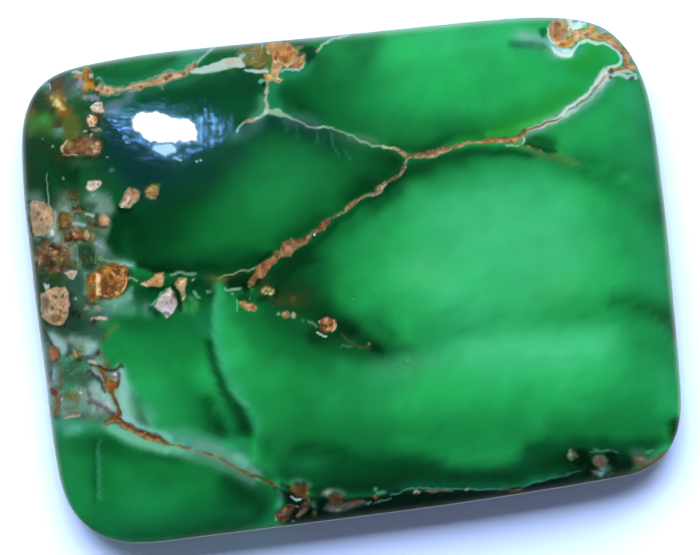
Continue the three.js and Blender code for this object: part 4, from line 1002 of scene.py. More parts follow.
spot plum 1.2 | 96.6,353.6,2.4,2.4,20
line wine 1.2 | 89.6,365.6,.9 94,365.8,1.1 98.4,367,1
spot redbrown 1 | 93.6,366.6,2.4,.9,0
line brownie 1.6 | 99,368,.9 102,372,1.3 104.6,376.6,1.7 108,382,2
fill brownie 1.6 | 103.6,379.4 108,378.6 112,380.6 118,381.4 116.6,386.6 112.4,391.4 108.4,390.6 104.6,386.6
spot clay 1.4 | 110.4,382.6,2.6,1.4,0
spot ochre 1.4 | 108,386.4,1.6,1.6,0
spot rust 1.4 | 114.4,386,1.8,2,0
fill slate 2.4 | 107.6,370.6 114,371 119.6,371.6 122.4,379.6 116.4,380 110.4,377.4
spot shell 1.6 | 113.6,374.4,2.6,1.4,20
spot dusk 1.6 | 118.6,376.6,1.6,2.4,20
line bark 1.4 | 111,391,.9 113,396.6,1.3 116.2,401.8,1.1 118.6,408,1.2 119.6,415,1.6
line clay 1.2 | 113,398,.5 117,404,.6 119,411,.6
line redbrown 1.4 | 104.8,422.6,.8 108,420,1.3 112,419,1.6 118,418.4,1.6
spot ochre 1.3 | 117,413.6,1.4,2,0
spot orange 1.2 | 114.6,417.4,2,1.3,20
fill brick 2.2 | 51.6,388.6 55,389.6 57.4,393.6 55.4,397 52,395
line brownie 1.8 | 55.6,397,.9 57.6,402,1.2 57.6,408,1.2 55.4,413,.8
line rose 1.6 | 65,416.2,.6 72,415.8,.8 80,415.6,.8
spot bark 2 | 70,396,2.6,1.6,0
spot umber 1.6 | 48.6,381.6,1.2,2,0
fill tan 1.6 | 99,217 102.6,213.7 107.2,215 110.3,219.4 108,224 102.6,225.6 98.4,222.4
spot pinkish 1.4 | 104.6,219,2.6,2,0
spot peat 1.4 | 100.4,223.4,2,1.4,20
spot bone 1 | 106.6,217.4,1.2,1,0
line umber 2 | 72,209,.9 77,208,1.3 82,210,1.1
spot peat 1.8 | 78,213.6,2.6,1.6,0
fill bark 2.4 | 61,213.6 66,212.4 71,214 71.6,220 68,226 62.4,225.6 60.4,219.4
spot khaki 1.8 | 65.6,217.6,2.6,2.2,0
spot peat 1.8 | 68.6,223.4,2.2,1.6,0
spot putty 1.4 | 64,223,1.4,1.2,0
line plum 2 | 86,222.4,1 91,224,1.8 96,226,1.3
spot wine 1.6 | 95,224.6,1.4,1.2,0
spot plum 1.6 | 90,220.6,2.2,1.6,0
fill drab 2.4 | 66,234 69.6,229.4 75,227.6 82,229 85.6,231.6 86.4,238.4 80,241.6 71,241 66.4,238.6
spot sand 1.2 | 75.6,228.8,2,1.1,-10
spot peat 1.8 | 70.6,237.6,2.6,2,0
spot redbrown 1.8 | 76.6,236,3.4,2.2,0
spot cream 1 | 73,233.4,.9,.7,0
spot cream 1 | 79.4,239.6,1,.7,0
fill pale_tan 1.4 | 84,230.4 88,230 90,234 88.4,239 84.6,239.4 83.4,235
spot clay 1.6 | 92.6,236.4,2.2,2.8,0
spot peat 1.6 | 96,232.6,1.4,1.8,0
fill sienna 2.2 | 290.4,486.4 295,484.2 301,484 308,487.2 309.6,492.4 304.6,496.6 299,496.8 294,493.4
spot loam 2 | 302.6,492.4,3.4,2.2,10
spot drab 1.8 | 294.4,487.6,2.2,1.3,-20
spot putty 1.4 | 308.4,493.4,1.1,2,0
line drab 1.8 | 303,499,1.6 307,497.4,1.7 309,501.4,1.4
fill sienna 1.8 | 274.8,515 279.6,509.6 284.6,505 291,503.8 295.4,505.2 291.6,511.8 289,517 283.4,522.8 277.4,521.4
spot ochre 1.8 | 284.6,509.6,3,2,-40
spot ochre 1.4 | 280.4,514.6,2,1.4,-30
spot loam 1.4 | 286.6,515.4,2.6,1.6,-50
spot umber 1.6 | 281,519.6,3,1.6,-10
spot soot 1 | 288.6,507.4,2,.9,10
spot soot 1 | 280.8,512.4,.9,.9,0
fill drab 2 | 301.4,504 305,502 308.6,503.6 308.8,508.6 305,514 299.6,517.6 295.6,516.4 299,510.6
spot putty 1.8 | 299.4,514.6,3,1.8,-30
spot peat 1.8 | 306,508,1.3,2.8,10
spot stone 1.6 | 292.6,520.6,2,1.2,0
spot bark 1.4 | 315,514,2.6,3.4,0
spot ochre 1.2 | 314.6,511.6,1.6,1.3,0
spot olive 1.4 | 316.6,516,1.4,1.2,0
fill loam 1.8 | 329,495.4 335,493.6 342,495 343.6,501.6 339.4,505 331.4,504.4 328.4,500.4
spot sienna 1.6 | 336.6,496.6,3.4,1.6,0
spot sienna 1.8 | 332.4,501.4,2.4,2,0
spot soot 1 | 336.6,499.8,.9,.8,0
spot ash 2 | 331,508.6,3.2,2,0
spot putty 1.8 | 338,509.8,3.4,1.5,-10
line ash 2 | 346,504,1.8 354,502.6,2.2 361,502.4,1.6
spot drab 1.8 | 353,504,3,1.2,0
line ash 1.6 | 266,481,.7 270,483,1.2 274,484.6,1
line putty 1.4 | 274,485,.7 278,486,.6
fill sage 1.4 | 570.6,448.4 578,455 573.6,458.4 570.4,459.4 567,456 568,452
spot foam 1.6 | 570.4,453,1.5,2.6,10
spot verdigris 1.4 | 574.6,456,1.6,1.2,0
fill pebble 2.6 | 592.4,460 597,455.4 604,455.6 608.2,461.6 605.4,467.2 597,466.8
spot drab 2 | 599,460.4,3.4,2,10
spot plum 1.8 | 603.4,464,2.2,1.4,0
spot peat 1.6 | 596.4,464.4,2,1,0
line pebble 2.4 | 591,471.6,1 597,473.6,1.7 603,475,1.2
spot peat 2.6 | 610,474.6,3,1.2,0
line stone 2.6 | 634,460.4,1.2 641,459,2.2 648,462,2.2
line stone 2.2 | 648.6,462.6,1.3 656,457.6,1.9 664,453.6,1.6 670.6,450.6,1
spot clay 2 | 641,460,2.6,1.4,0
spot clay 1.8 | 660,456,3.2,1.1,-26
spot cream 2 | 577,37,3.4,3,0
spot bisque 1.4 | 575,31,2.4,1.8,0
spot bone 1.4 | 603,30,3,1.5,30
spot bone 1.4 | 626,70.6,5,1.6,0
spot foam 1.6 | 600,472.4,3.4,1.4,10
spot pebble 1.6 | 603,468,2.4,1.6,0
spot linen 1.8 | 584,36,2.6,1.6,10
spot amber 1.6 | 600,36.5,3.4,1.8,10
spot pinkish 1.8 | 613,44,3,2.4,40
spot rosewood 1.2 | 577,104.4,1.6,.8,-30
spot stone 1.2 | 583.4,100.4,2,.8,-35
spot rosewood 1.1 | 590.6,94.4,1.3,.7,-40
spot stone 1.2 | 597,87,1.6,.8,-50
line tan 1 | 126.4,279,.9 125.6,286,1.2 122,291.4,1.2
spot olive 2.5 | 62,262,5,5,0
spot shade 2.5 | 50,264,5,4,0
spot bark 2 | 45,251,4,3,0
spot khaki 2.4 | 57,257,3.4,2.6,0
spot drab 3 | 46,302,3,7,0
spot sage 1.8 | 650,451,3.4,1.4,-22
spot grey_green 1.8 | 596,449,2.6,1.6,10
spot sand 1.4 | 99.6,129.4,1.6,1.3,0
"""

# Golden, brown and orange washes at the top left, which are stained chert rather than rock: paint, strength, feather,
# run. The bright gold strokes near x 53 to 64, y 98 to 110 are a painted highlight, the glint of the golden patch.
STAIN_AND_GLINT = """
smoke .7 5 | 50,80,3 66,84,4
umber .6 4 | 56,72,2 56,86,2
sage .5 4 | 45,88,2
cocoa .5 3 | 60,96,3
umber .4 4 | 64,112,3
umber .6 3 | 68,112,2 72,116,2
moss .5 5 | 72,122,4 70,132,4
olive .75 5 | 71,121,4 72,133,5
moss .5 6 | 34,124,5
lime .5 4 | 44,119,3
brownie .75 2.5 | 31.5,112,2
mist .6 3.5 | 59,131,2.5
olive .5 3 | 28.5,115,1 28.5,136,1
cocoa .8 1.8 | 58.3,123.6,1.6
ochre .6 4 | 58,98,3 62,110,3
gold .7 2 | 55,98,1.2 58.3,102.6,1.6 61,108,1
gold .9 1.2 | 57.4,100.4,1.1 58.6,103.4,1.3
brownie .7 1.6 | 63,113,1.6
gold .6 1 | 64,108.6,.6
gold .6 1 | 53.4,104.8,.6
ochre .9 1.6 | 84,69.6,1.2 87.8,71.6,2 85.6,76,2 86,83,2 85.8,90,1.2
brownie .8 1.4 | 90,73,1.2 91,79,1.4 90,86,1.2
putty .7 1.6 | 78,72,1.4 80,79,1.4
smoke .7 2 | 76,80,1.6 79,88,1.6
amber .8 1.4 | 90.4,85.6,2.2
orange .7 1.3 | 74.5,76.4,.8 81,76.8,1
straw .5 1.3 | 85.9,85.6,1.2
lilac .7 2 | 79.7,84,2.6
lilac .7 2 | 86,97,1.6 97,97,1.6
brick .7 1.2 | 86,92.6,1
smoke .6 3 | 70,92,3
olive .8 5 | 250,47,3 266,50,4 266,60,4 258,64,3
putty .6 2.6 | 240,54,2.4 247,60,1.6
mist .55 2.5 | 252,54,2 258,58,1.5
"""

# Dark specks, outlines and cracks: paint, strength, feather, x,y,half-width. The following are painted shadow: the dark
# rims round the white flake near x 165, y 300; the dark rim right of the small pale flake near x 573, y 454; and the
# dark strip under the pale grain near x 98, y 116.
DARK_MARKS_AND_SHADOW = """
cocoa .9 1 | 170.2,74.4,1
cocoa .9 1 | 166.8,78.2,1
cocoa .9 1 | 182.9,73.6,.9
cocoa .8 1 | 195.9,65.2,1.8
cocoa .7 1 | 101.6,87.6,.8
brick .7 1 | 107.4,90.6,.9
cocoa .6 1 | 116,91.6,.8
cocoa .7 1 | 140.6,86.8,.9
olive .5 1.6 | 229,70,1.2 233,70.8,1.2
bottle .9 2 | 300,52.6,1.6 309,49.4,2.2 312.4,51.4,2 309.6,58,2.2 307.4,61,1.2
bottle .7 3 | 280,36,1 300,42,1.5
soot .8 1.2 | 263.7,85.1,1.4
bottle .7 1.6 | 301.2,107.3,1.4
rust .6 1 | 247,122.6,.7
forest .5 1.6 | 414,150.6,.6 425,148.8,.8 434,147.4,.8 441,145.2,.7
forest .45 1.8 | 412,161,.6 425,161,.8 436,159.4,.7 446,156,.6
forest .3 1.8 | 485,146.6,.6 500,145.8,.7
rust .8 .8 | 424.6,153.8,.8
cocoa .8 .8 | 434.4,152.4,1
cocoa .7 .8 | 450,148.2,.7
rust .8 .8 | 486,142.4,.9
rust .7 .8 | 496,140.2,.8
cocoa .6 .8 | 513,141.6,.8
cocoa .6 .8 | 506.6,140.6,.7
bottle .7 1.2 | 528,144.4,.7 536,147.4,.9 545,149.6,.8 556,151.8,.7
cocoa .85 1 | 611.6,70.4,1.3
cocoa .85 1 | 610.7,76.6,1.2
cocoa .7 1 | 631.3,78.4,1
cocoa .6 .9 | 600,36,.9
cocoa .6 .9 | 588,35,1
cocoa .6 .9 | 626,60,.8
cocoa .5 .9 | 563,44,.9
bottle .55 2 | 403,176,.8 398,181,.9 391,186,.9 387,192,.6
bottle .4 2 | 372,188.6,.6 362,191.4,.6 350,197,.8
bottle .6 2.4 | 360,203,.6 350,214,1 340,220,.8 332,228,1 324,237,1.1 312,246,1.1 302,254,1.1 292,262,1 280,272,1
forest .5 2.4 | 340,206,.6 330,212,.8 316,222,.9 310,228,.8 300,234,.8
cocoa .8 .8 | 403.8,168.4,.8
cocoa .8 .8 | 395.2,177.2,.8
cocoa .7 .8 | 351.6,205.4,.8
cocoa .8 .8 | 290,242,.8
cocoa .8 .8 | 276.4,258.4,.9
cocoa .7 .8 | 261.6,266.4,.8
ink .6 1.6 | 258,261.4,.8 264,257.4,.9 272,252.6,.8
ink .7 2 | 243,285,.9 246,291,1
ink .6 2 | 240,297.6,1 250,299,1
ink .5 2 | 259,300,1 265,298,1
ink .5 1.6 | 276,290,.8 275,296,1
soot .6 1 | 318,318.6,.8 325,316,.9 332,318.4,.8
cocoa .8 1 | 319,329,.8 323,331.6,.8
ink .6 3 | 374,347,1.6 380,351,1.6
ink .7 1.4 | 172.9,285.6,1 174.8,292,1.9 177.8,300,2 179.8,308.6,1.4
ink .5 1.6 | 150,289,.8 158,289.6,1 164,288.4,.8
ink .6 2 | 150,309.6,1 156,314.4,1.2
ink .45 3 | 196,285,2 208,283,2.4 211,293,2
cocoa .9 1.1 | 95.8,83.3,1.3
cocoa .9 1.3 | 97.3,92.4,1.4
umber .85 1 | 91.8,79.6,.8
cocoa .9 1.1 | 95.6,115.4,1.1 99,116,1.5 101.4,117,1
soot .85 .9 | 87.6,131.9,1.1
cocoa .6 1 | 84,126.6,.8 85,120,.8
soot .5 1.2 | 98.6,125.6,.8 99,120,.8
cocoa .7 1.4 | 58,158.7,1.8
soot .5 1.6 | 66,158,1 80,158.4,1 92,158,1 102,156,1
ink .6 1.4 | 118.4,207.6,.9 123,210.4,1 130,210.8,.9
soot .8 1.2 | 50.6,247.3,1.5
soot .8 1.2 | 61.3,268,1.6
soot .5 1.2 | 28.8,214,.6 29.6,226,.7 32.6,236,.7
soot .5 1.1 | 54.4,236,.8 50,240,.9 42,240,.8
soot .7 1.4 | 72,293.7,1.4
ink .75 1.6 | 72,315,1.3 76,311.6,1.8 78.6,314.6,1.2
soot .6 1 | 70.4,296,.7 70.6,306,.8 68.4,316,.8 63.6,325.6,.8
soot .55 1 | 84.8,296,.8 88,303,.9 94,303.4,.8
soot .5 1 | 44,322.6,.8 52,326,.9 60,327,.8
wine .5 1 | 101.8,298,.8 110,298.6,.8
soot .8 1 | 94.2,320.8,1.2
cocoa .75 .9 | 113,414,.8 118,417.6,.9 125,424.2,.9 132,426,.8 139,430,.8 146,433.8,.8 152,434.6,.9 160,437.4,.8 167,441.6,.7
cocoa .7 .8 | 144.4,437,.9
cocoa .7 .8 | 153.6,438.6,.9
cocoa .6 .8 | 134.6,430.8,.8
pine .55 2 | 95.5,442,.4 95.5,470,.6 95.5,500,.4
mint .3 1.2 | 98.5,442,.4 98.5,470,.6 98.5,500,.4
soot .8 .8 | 416.8,494.6,1
night .8 1.1 | 44.8,331.6,.5 47.4,337.6,.7 50.6,343.4,.6
cocoa .7 1 | 50.6,343.6,.4 56,348.4,.5 59.8,352,.5 58,359,.5 52,361.6,.4
plum .8 1.1 | 83.4,356.6,.5 88.2,357.4,.8 93,356.6,.8 97,352.6,1.2
night .8 1.2 | 97.4,352.2,1.3
soot .7 1.1 | 78.2,361,1
soot .5 1.2 | 70,352,.5 67,356,.5
night .85 1 | 87.6,371,.7 91.6,374,1.3 96,377,1.3 99.8,381.8,.9 102,387,.6 104,392,.4
soot .8 .9 | 99,366.8,.6 104.7,369.7,.7 111,370.4,.6 118,369,.7 121.4,365.8,1.2
soot .75 1 | 118.4,381.6,.9 116.8,387,.8
umber .7 1 | 97,368,.5 103,376,.5 105.6,384,.5 108,391,.5
cocoa .75 1 | 110.4,391,.5 112.6,397,.6 115.6,402.4,.5 117.4,408.4,.6 118.4,415,.6
plum .8 1.1 | 88,402.6,.9 93,401.9,1.1 99.6,406.6,1.2 106,408.4,1 111,412.4,.9 116,414.4,.7
plum .6 1.2 | 88.6,402.4,.6 89.6,397,.7 87.6,392,.4
plum .5 1.2 | 100,407,.5 97,412,.6 100,416,.4
cocoa .7 1 | 105,421.6,.5 111,418.2,.6 118,417,.5
cocoa .6 1 | 106,424.4,.4 113,422.4,.6 119,423,.5
wine .7 1.1 | 51,391,.8 54.4,393.6,.8
umber .6 1.1 | 58.6,396,.5 59.6,402,.6 59.4,409,.5
umber .6 1.1 | 60.6,372,.4 59,380,.6 60,388,.5 55,387,.4
night .5 1.2 | 49.4,374.6,1
umber .5 1.2 | 62,362,.4 60.4,368,.5
plum .5 1.1 | 78,388,.4 82,384.6,.5 88,386,.4
verdigris .7 1.4 | 84,380,1.3 90,378.6,1.2
umber .45 1.1 | 64,408,.5 72,409,.5 78,404,.5
khaki .5 1.4 | 101,340,.5 106,335.6,.7 112,330.6,.6 118,325.6,.5
soot .6 1.1 | 103.6,338,.7
soot .7 1.2 | 97.6,214.6,.7 97,221,.9 100.6,226.6,.8 107,226.4,.6
soot .6 1.1 | 73,207,.6 79,206.4,.8 84,209,.7
wine .7 1.1 | 66.6,239.4,1 84.6,239.8,.9
soot .6 1.1 | 70,232.6,.6 71.6,238.6,.7
soot .5 1.1 | 60.6,227.6,.6 66,227.4,.7 72,226.6,.5
cocoa .6 1.1 | 60.6,214,.5 59.6,221,.6 61.6,227,.5
soot .6 1.3 | 50.6,247,1.2 58,250,.8
soot .5 1.4 | 46,258,1 52,264,1 48,270,.8
soot .5 1.4 | 64,262,1 68,268,.8
cocoa .5 1.4 | 56,256,.9 62,254,.8
wine .8 1.2 | 288.6,489,1.1 290.4,492.6,1
ink .7 1.4 | 283,485,1.2 287,487,1.2
ink .6 1.2 | 296,483.6,.5 305,484,.5
soot .7 1 | 289,518.6,.6 294,513,.7 299.6,508,.6
soot .6 1 | 300.6,509.6,.4 303,505.6,.4
ink .8 1.6 | 310.6,509,1.1 318.6,509.6,1.3 322.6,503,1.5 324,498,1.2
soot .6 1 | 344.6,497,.6 345,501.4,.6
ink .7 1.4 | 349,498.6,1 358,498.4,1.2 368,499,1
ink .6 1.6 | 308,516,1.6 310,519,1.2 322,513,1.4
ink .9 1.8 | 580,452,1.6 583.6,457.6,2.4 581,464,2.4
ink .8 2.2 | 590,468,1.6 587,462,2 589,474,1.6
ink .9 1.6 | 608.4,455.4,1.3 613.6,456.6,2 611,463,1.6
ink .7 2.6 | 616,463,2.4 622,468,2.4 630,462,2
ink .6 1.6 | 592,469.4,.8 598,469.6,.9
cocoa .6 1.6 | 612,475.6,1 626,472,1.1 640,469.6,.9 652,466,.8
"""
def rows_of(text, words):
    """The rows of a table above, as their words and their run of numbers."""
    out = []
    for line in text.strip().splitlines():
        head, run = line.split("|") if "|" in line else (" ".join(line.split()[:words]), " ".join(line.split()[words:]))
        out.append((head.split(), pairs(run)))
    return out


def over(rgb, where, colour, alpha):
    rgb[where] += (colour - rgb[where]) * alpha[:, None]


def grains(x, y, size, seed):
    """Irregular cells: which cell, and how far in from its border."""
    i0, j0 = np.floor(x / size).astype(np.int64), np.floor(y / size).astype(np.int64)
    d1, d2 = np.full(x.shape, 1e9), np.full(x.shape, 1e9)
    tag = np.zeros(x.shape)
    for di in (-1, 0, 1):
        for dj in (-1, 0, 1):
            i, j = i0 + di, j0 + dj
            px = (i + 0.5 + 0.42 * lattice(i, j, seed)) * size
            py = (j + 0.5 + 0.42 * lattice(i, j, seed + 1)) * size
            d = np.hypot(x - px, y - py)
            t = lattice(i, j, seed + 2) * 0.5 + 0.5
            closer = d < d1
            d2 = np.where(closer, d1, np.minimum(d2, d))
            tag = np.where(closer, t, tag)
            d1 = np.where(closer, d, d1)
    return tag, (d2 - d1) * 0.5


def draw(x, y):
    """Colour, matrix and chalk at places on the drawing plane."""
    n = len(x)
    # Three bent copies of the plane: slow bends for the tones, small ones for
    # veils, and rough ones for the edges of the rock.
    tx = x + 5.0 * noise(x, y, 46, 3) + 2.2 * noise(x, y, 17, 5)
    ty = y + 5.0 * noise(x, y, 46, 4) + 2.2 * noise(x, y, 17, 6)
    vx = x + 1.0 * noise(x, y, 13, 7) + 0.5 * noise(x, y, 6, 9)
    vy = y + 1.0 * noise(x, y, 13, 8) + 0.5 * noise(x, y, 6, 10)
    rx = x + 1.1 * noise(x, y, 9, 11) + 0.9 * noise(x, y, 4, 13)
    ry = y + 1.1 * noise(x, y, 9, 12) + 0.9 * noise(x, y, 4, 14)

    # Fields and their tones.
    weights = {}
    total = np.zeros(n)
    for name, (ground, text) in CELLS.items():
        rows = pairs(text)
        w = np.full(n, 1e-6)
        m = near(vx, vy, rows, 6)
        w[m] += 1 - step(-3.0, 3.0, outline_field(vx[m], vy[m], rows))
        weights[name] = w
        total += w
    rgb = np.zeros((n, 3))
    fields = {}
    for name, (ground, text) in CELLS.items():
        fields[name] = np.tile(paint(ground), (n, 1))
    for (cell, colour, strength), rows in rows_of(TONES_AND_FRONT_SHADE, 3):
        pad = 2.6 * rows[:, 2].max()
        m = near(tx, ty, rows, pad)
        m = m[weights[cell][m] > 1e-4]
        if len(rows) == 1:
            rows = np.vstack([rows, rows + [0.01, 0, 0]])
        d, w, _ = line_field(tx[m], ty[m], smooth_line(rows, 12) if len(rows) > 2 else rows)
        over(fields[cell], m, paint(colour), float(strength) * np.exp(-((d / w[:, 0]) ** 2)))
    for name in CELLS:
        rgb += fields[name] * (weights[name] / total)[:, None]

    # Cloudiness in the green.
    cloud = 0.055 * fbm(x + 0.4 * y, y * 1.5, 38, 21) + 0.045 * fbm(x, y, 11, 25, 2)
    rgb *= (1 + cloud)[:, None]

    # Broken ground at the left: small grains of many kinds.
    inside = weights["K"] / total
    m = np.nonzero(inside > 0.02)[0]
    density = np.zeros(len(m))
    for line in ("74,206,14 88,222,20 80,246,26 100,256,16", "62,336,16 72,362,22 84,400,28 62,404,22", "94,120,10 92,134,8 84,146,16", "60,96,14 88,82,12",
                 "56,252,18 44,262,14", "104,350,12 112,380,14", "88,304,14 100,314,12", "58,226,12"):
        rows = pairs(line)
        rows = np.vstack([rows, rows + [0.01, 0, 0]]) if len(rows) == 1 else rows
        d, w, _ = line_field(x[m], y[m], rows)
        density = np.maximum(density, np.exp(-((d / w[:, 0]) ** 2)))
    tag, edge = grains(rx[m] + 1.5 * noise(x[m], y[m], 7, 31), ry[m] + 1.5 * noise(x[m], y[m], 7, 32), 8.5, 40)
    kinds = ["sage", "bark", "shade", "putty", "grey_green", "brownie", "haze", "forest", "tan", "slate", "umber", "smoke", "mist", "khaki"]
    low = (y[m] > 286 + 6 * noise(x[m], y[m], 20, 34))
    cement = ["sage", "mist", "haze", "grey_green", "surf", "forest", "slate", "sage", "mist", "smoke", "haze", "bark", "lilac", "grey_green"]
    pick = np.minimum((tag * len(kinds)).astype(int), len(kinds) - 1)
    shares = np.where(low[:, None], np.array([paint(k) for k in cement])[pick], np.array([paint(k) for k in kinds])[pick])
    alpha = inside[m] * density * (0.4 + 0.45 * step(0.2, 1.4, edge)) * np.where(low, 0.75, 1.0)
    over(rgb, m, shares, alpha)
    tag, edge = grains(rx[m], ry[m], 4.6, 50)
    pick = np.minimum((tag * len(kinds)).astype(int), len(kinds) - 1)
    shares = np.where(low[:, None], np.array([paint(k) for k in cement])[pick], np.array([paint(k) for k in kinds])[pick])
    over(rgb, m, shares, inside[m] * density * np.where(low, 0.3, 0.5) * step(0.1, 0.8, edge))
    line = step(0.6, 0.1, edge) * inside[m] * density
    over(rgb, m, paint("soot"), 0.3 * line * (noise(x[m], y[m], 14, 33) > 0))
    over(rgb, m, paint("haze"), 0.35 * line * (noise(x[m], y[m], 14, 33) <= 0))
    matrix = np.zeros(n)
    matrix[m] = np.maximum(matrix[m], 0.45 * inside[m] * density)
    chalk = np.zeros(n)

    def stroke(table, x, y, soft, kind=None, darken=False):
        for (colour, strength, feather), rows in rows_of(table, 3):
            feather = float(feather)
            if len(rows) == 1:
                rows = np.vstack([rows, rows + [0.01, 0, 0]])
            m = near(x, y, rows, rows[:, 2].max() + (2.2 * feather if soft else feather) + 1)
            if not len(m):
                continue
            d, w, _ = line_field(x[m], y[m], smooth_line(rows) if len(rows) > 2 else rows)
            w = w[:, 0] * (1.0 if soft else 0.85)
            if table is STAIN_AND_GLINT:
                w = w + 1.6 * noise(x[m], y[m], 4.2, 71) + 0.9 * noise(x[m], y[m], 2.1, 72)
            if darken:
                alpha = 0.85 * np.exp(-((np.maximum(d - w * 0.9, 0) / (1.25 * feather)) ** 2))
            elif soft:
                alpha = np.exp(-((np.maximum(d - w, 0) / feather) ** 2))
            else:
                alpha = 1 - step(-0.5 * feather, 0.5 * feather, d - w - 0.15)
            over(rgb, m, paint(colour), float(strength) * alpha)
            if kind is not None:
                kind[m] = np.maximum(kind[m], float(strength) * alpha)

    stroke(VEILS_WITH_SHEEN_AND_SHADE, vx, vy, True)
    stroke(STAIN_AND_GLINT, vx, vy, True)
    stroke(PALE, rx, ry, False, chalk)

    # The rock, with its own mottling.
    rock = np.zeros(n)
    for (kind, colour, feather), rows in rows_of(ROCK, 3):
        f = float(feather)
        if kind == "fill":
            m = near(rx, ry, rows, 3 + f)
            d = outline_field(rx[m], ry[m], rows)
        elif kind == "spot":
            cx, cy, sx, sy, turn = rows[0]
            r = max(sx, sy) + f + 1
            m = np.nonzero((abs(rx - cx) < r) & (abs(ry - cy) < r))[0]
            d = blot_field(rx[m], ry[m], cx, cy, sx, sy, turn)
        else:
            if len(rows) == 1:
                rows = np.vstack([rows, rows + [0.01, 0, 0]])
            m = near(rx, ry, rows, rows[:, 2].max() + f + 1)
            d, w, _ = line_field(rx[m], ry[m], smooth_line(rows) if len(rows) > 2 else rows)
            d = d - w[:, 0]
        if not len(m):
            continue
        f = 1.3 * f + 0.3
        alpha = 1 - step(-0.5 * f, 0.5 * f, d - 0.1)
        over(rgb, m, paint(colour), alpha * (0.94 if kind != "spot" else 0.8))
        if kind != "spot":
            rock[m] = np.maximum(rock[m], alpha)
    # The rock is made a fifth darker near the front edge. This takes back part of the painted light that is added along
    # that edge when the colour is stored.
    rgb *= (1 - 0.2 * rock * step(498, 512, y + 0.14 * x))[:, None]
    mottle = 0.13 * noise(x, y, 5.5, 61) + 0.10 * noise(x, y, 2.9, 62)
    dark = step(0.35, 0.75, noise(x, y, 4.3, 63))
    light = step(0.4, 0.8, noise(x, y, 3.6, 64))
    rgb *= (1 + rock * mottle)[:, None]
    rgb += (paint("umber") - rgb) * (0.24 * rock * dark)[:, None]
    rgb += (paint("bisque") - rgb) * (0.2 * rock * light)[:, None]
    matrix = np.maximum(matrix, rock)

    stroke(DARK_MARKS_AND_SHADOW, rx, ry, True, darken=True)
    return np.clip(rgb, 0, 1), matrix, chalk


# Settings of the net and the light.
TOLERANCE = 0.075
BACK_TOLERANCE = 0.16
WORLD_COLOUR = (0.44, 0.60, 1.0)
WORLD_STRENGTH = 0.24
# Soft lights: name, what each is set to light, direction, distance, size, radiance, colour.
SOFT = [
    ("key", "stone", (0.0, 0.62, 1.25), 700, (1300, 300), 6.2, (1.0, 0.985, 0.95)),
    ("fill", "stone", (0.1, -0.35, 1.3), 800, (900, 500), 0.3, (0.80, 0.89, 1.0)),
    ("side", "stone", (-0.62, 0.52, 0.62), 500, (120, 80), 14.0, (0.86, 0.93, 1.0)),
    ("table_fill", "floor", (0.0, -0.7, 1.0), 700, (700, 500), 0.36, (0.62, 0.68, 1.0)),
    ("table_light", "floor", (0.0, 0.84, 1.0), 700, (800, 480), 17.5, (0.45, 0.58, 1.0)),
]
# Painted light and shade that cancel the scene's lights: factors on the base colour, darker at the back of the stone,
# where the key light is strongest, and lighter towards the front edge and the right end, where it is weaker.
LIGHT_UNDO_Y = [(20, 0.80), (60, 0.74), (120, 0.72), (280, 0.83), (400, 0.94), (480, 1.0), (540, 1.08)]
LIGHT_UNDO_X = [(0, 1.02), (100, 1.0), (400, 1.0), (500, 1.02), (600, 1.07), (670, 1.13)]
LIGHT_UNDO_FRONT = [(440, 0.97), (480, 1.02), (505, 1.08), (520, 1.14), (535, 1.28), (548, 1.6), (560, 2.0)]
# The lamp seen mirrored in the polish at the upper left, as it shows there: a
# bright window broken into bars, in a blue glow. Colour, strength, feather,
# and a run of x,y,half-width.
LAMP = """
blue .30 13 | 128,122,7 160,127,13 196,128,11
blue .24 8 | 116,118,3 112,124,3
blue .26 9 | 150,148,4 182,152,3
blue .30 7 | 140,112,2 176,110,2
blue .28 7 | 212,128,5 226,128,3
blue .8 1.1 | 108,111.5,.3 120,113,.5 133,113.5,.5
blue 1.1 .9 | 111,116.2,.3 134,117.6,.5
blue 1.5 1.0 | 107,119.4,.3 120,121.5,.6 136,122.4,.7
blue .9 .9 | 112,124.6,.3 137,126.0,.6
blue 1.4 1.1 | 121,128.6,.4 141,130.6,.8
blue 1.1 1.2 | 126,132,.5 144,136.5,1
blue .8 1.0 | 131,138,.4 150,143.5,.6
blue .7 1.0 | 120,109.5,.3 136,109.0,.4
blue .8 1.1 | 150,110.2,.4 172,111.5,.4
blue 1.0 1.4 | 166,115.4,.5 190,118.5,.6
blue 1.3 1.4 | 196.6,117,.5 197,142,.7
blue 1.7 1.0 | 200.7,116,.4 201.2,143,.7
blue 1.2 .8 | 204.8,109,.3 205.4,147,.5
blue 1.5 1.1 | 210.2,114,.4 210.8,145,.6
blue 1.1 .9 | 213.8,117,.3 214.2,141,.4
blue 1.5 1.1 | 218.6,117,.5 219.2,142,.6
blue .7 .9 | 222.2,121,.3 222.6,139,.4
blue .35 1.1 | 230.6,115,.3 231,130,.4
blue .8 2 | 138,138,1 146,143,1.2 154,147,1
blue 1.3 1.6 | 150,143,.8 160,144,1 176,142.6,.8 192,142,.6
blue .8 1.4 | 178,147,.8 190,150,.8 202,148,.5
blue 1.0 1.2 | 126,136.6,.6 130,141,.8
blue .6 1.2 | 150,152,.6 166,156,.7 184,155,.5
pale .7 .7 | 127.6,140.5,.3
pale .9 .7 | 180.6,158.9,.4
pale .6 .9 | 175,157,.8 178,158,.6
pale .9 .7 | 196.9,160.4,.4
pale .9 .7 | 201,159.2,.4
pale .5 .7 | 199.6,118,.3 200,124,.3
pale .5 .7 | 207.4,120,.3
pale .5 .7 | 217.6,128,.3 217.8,134,.3
"""
# The bright window itself, and the paler patch below it.
CORE = "133.7,120.6 137,117.4 140.8,115.5 153.1,114 163.3,116.2 173.5,119.8 187.8,121 192.4,125.2 193.6,131 194.4,138 181.6,138.6 165.3,140.4 153.1,138.4 143.9,133.2 134.7,127"
PATCH = "154,148 157,145.6 168,144.8 174.4,145.2 175.2,150 170,152.8 163,153.6 158.5,151.2"


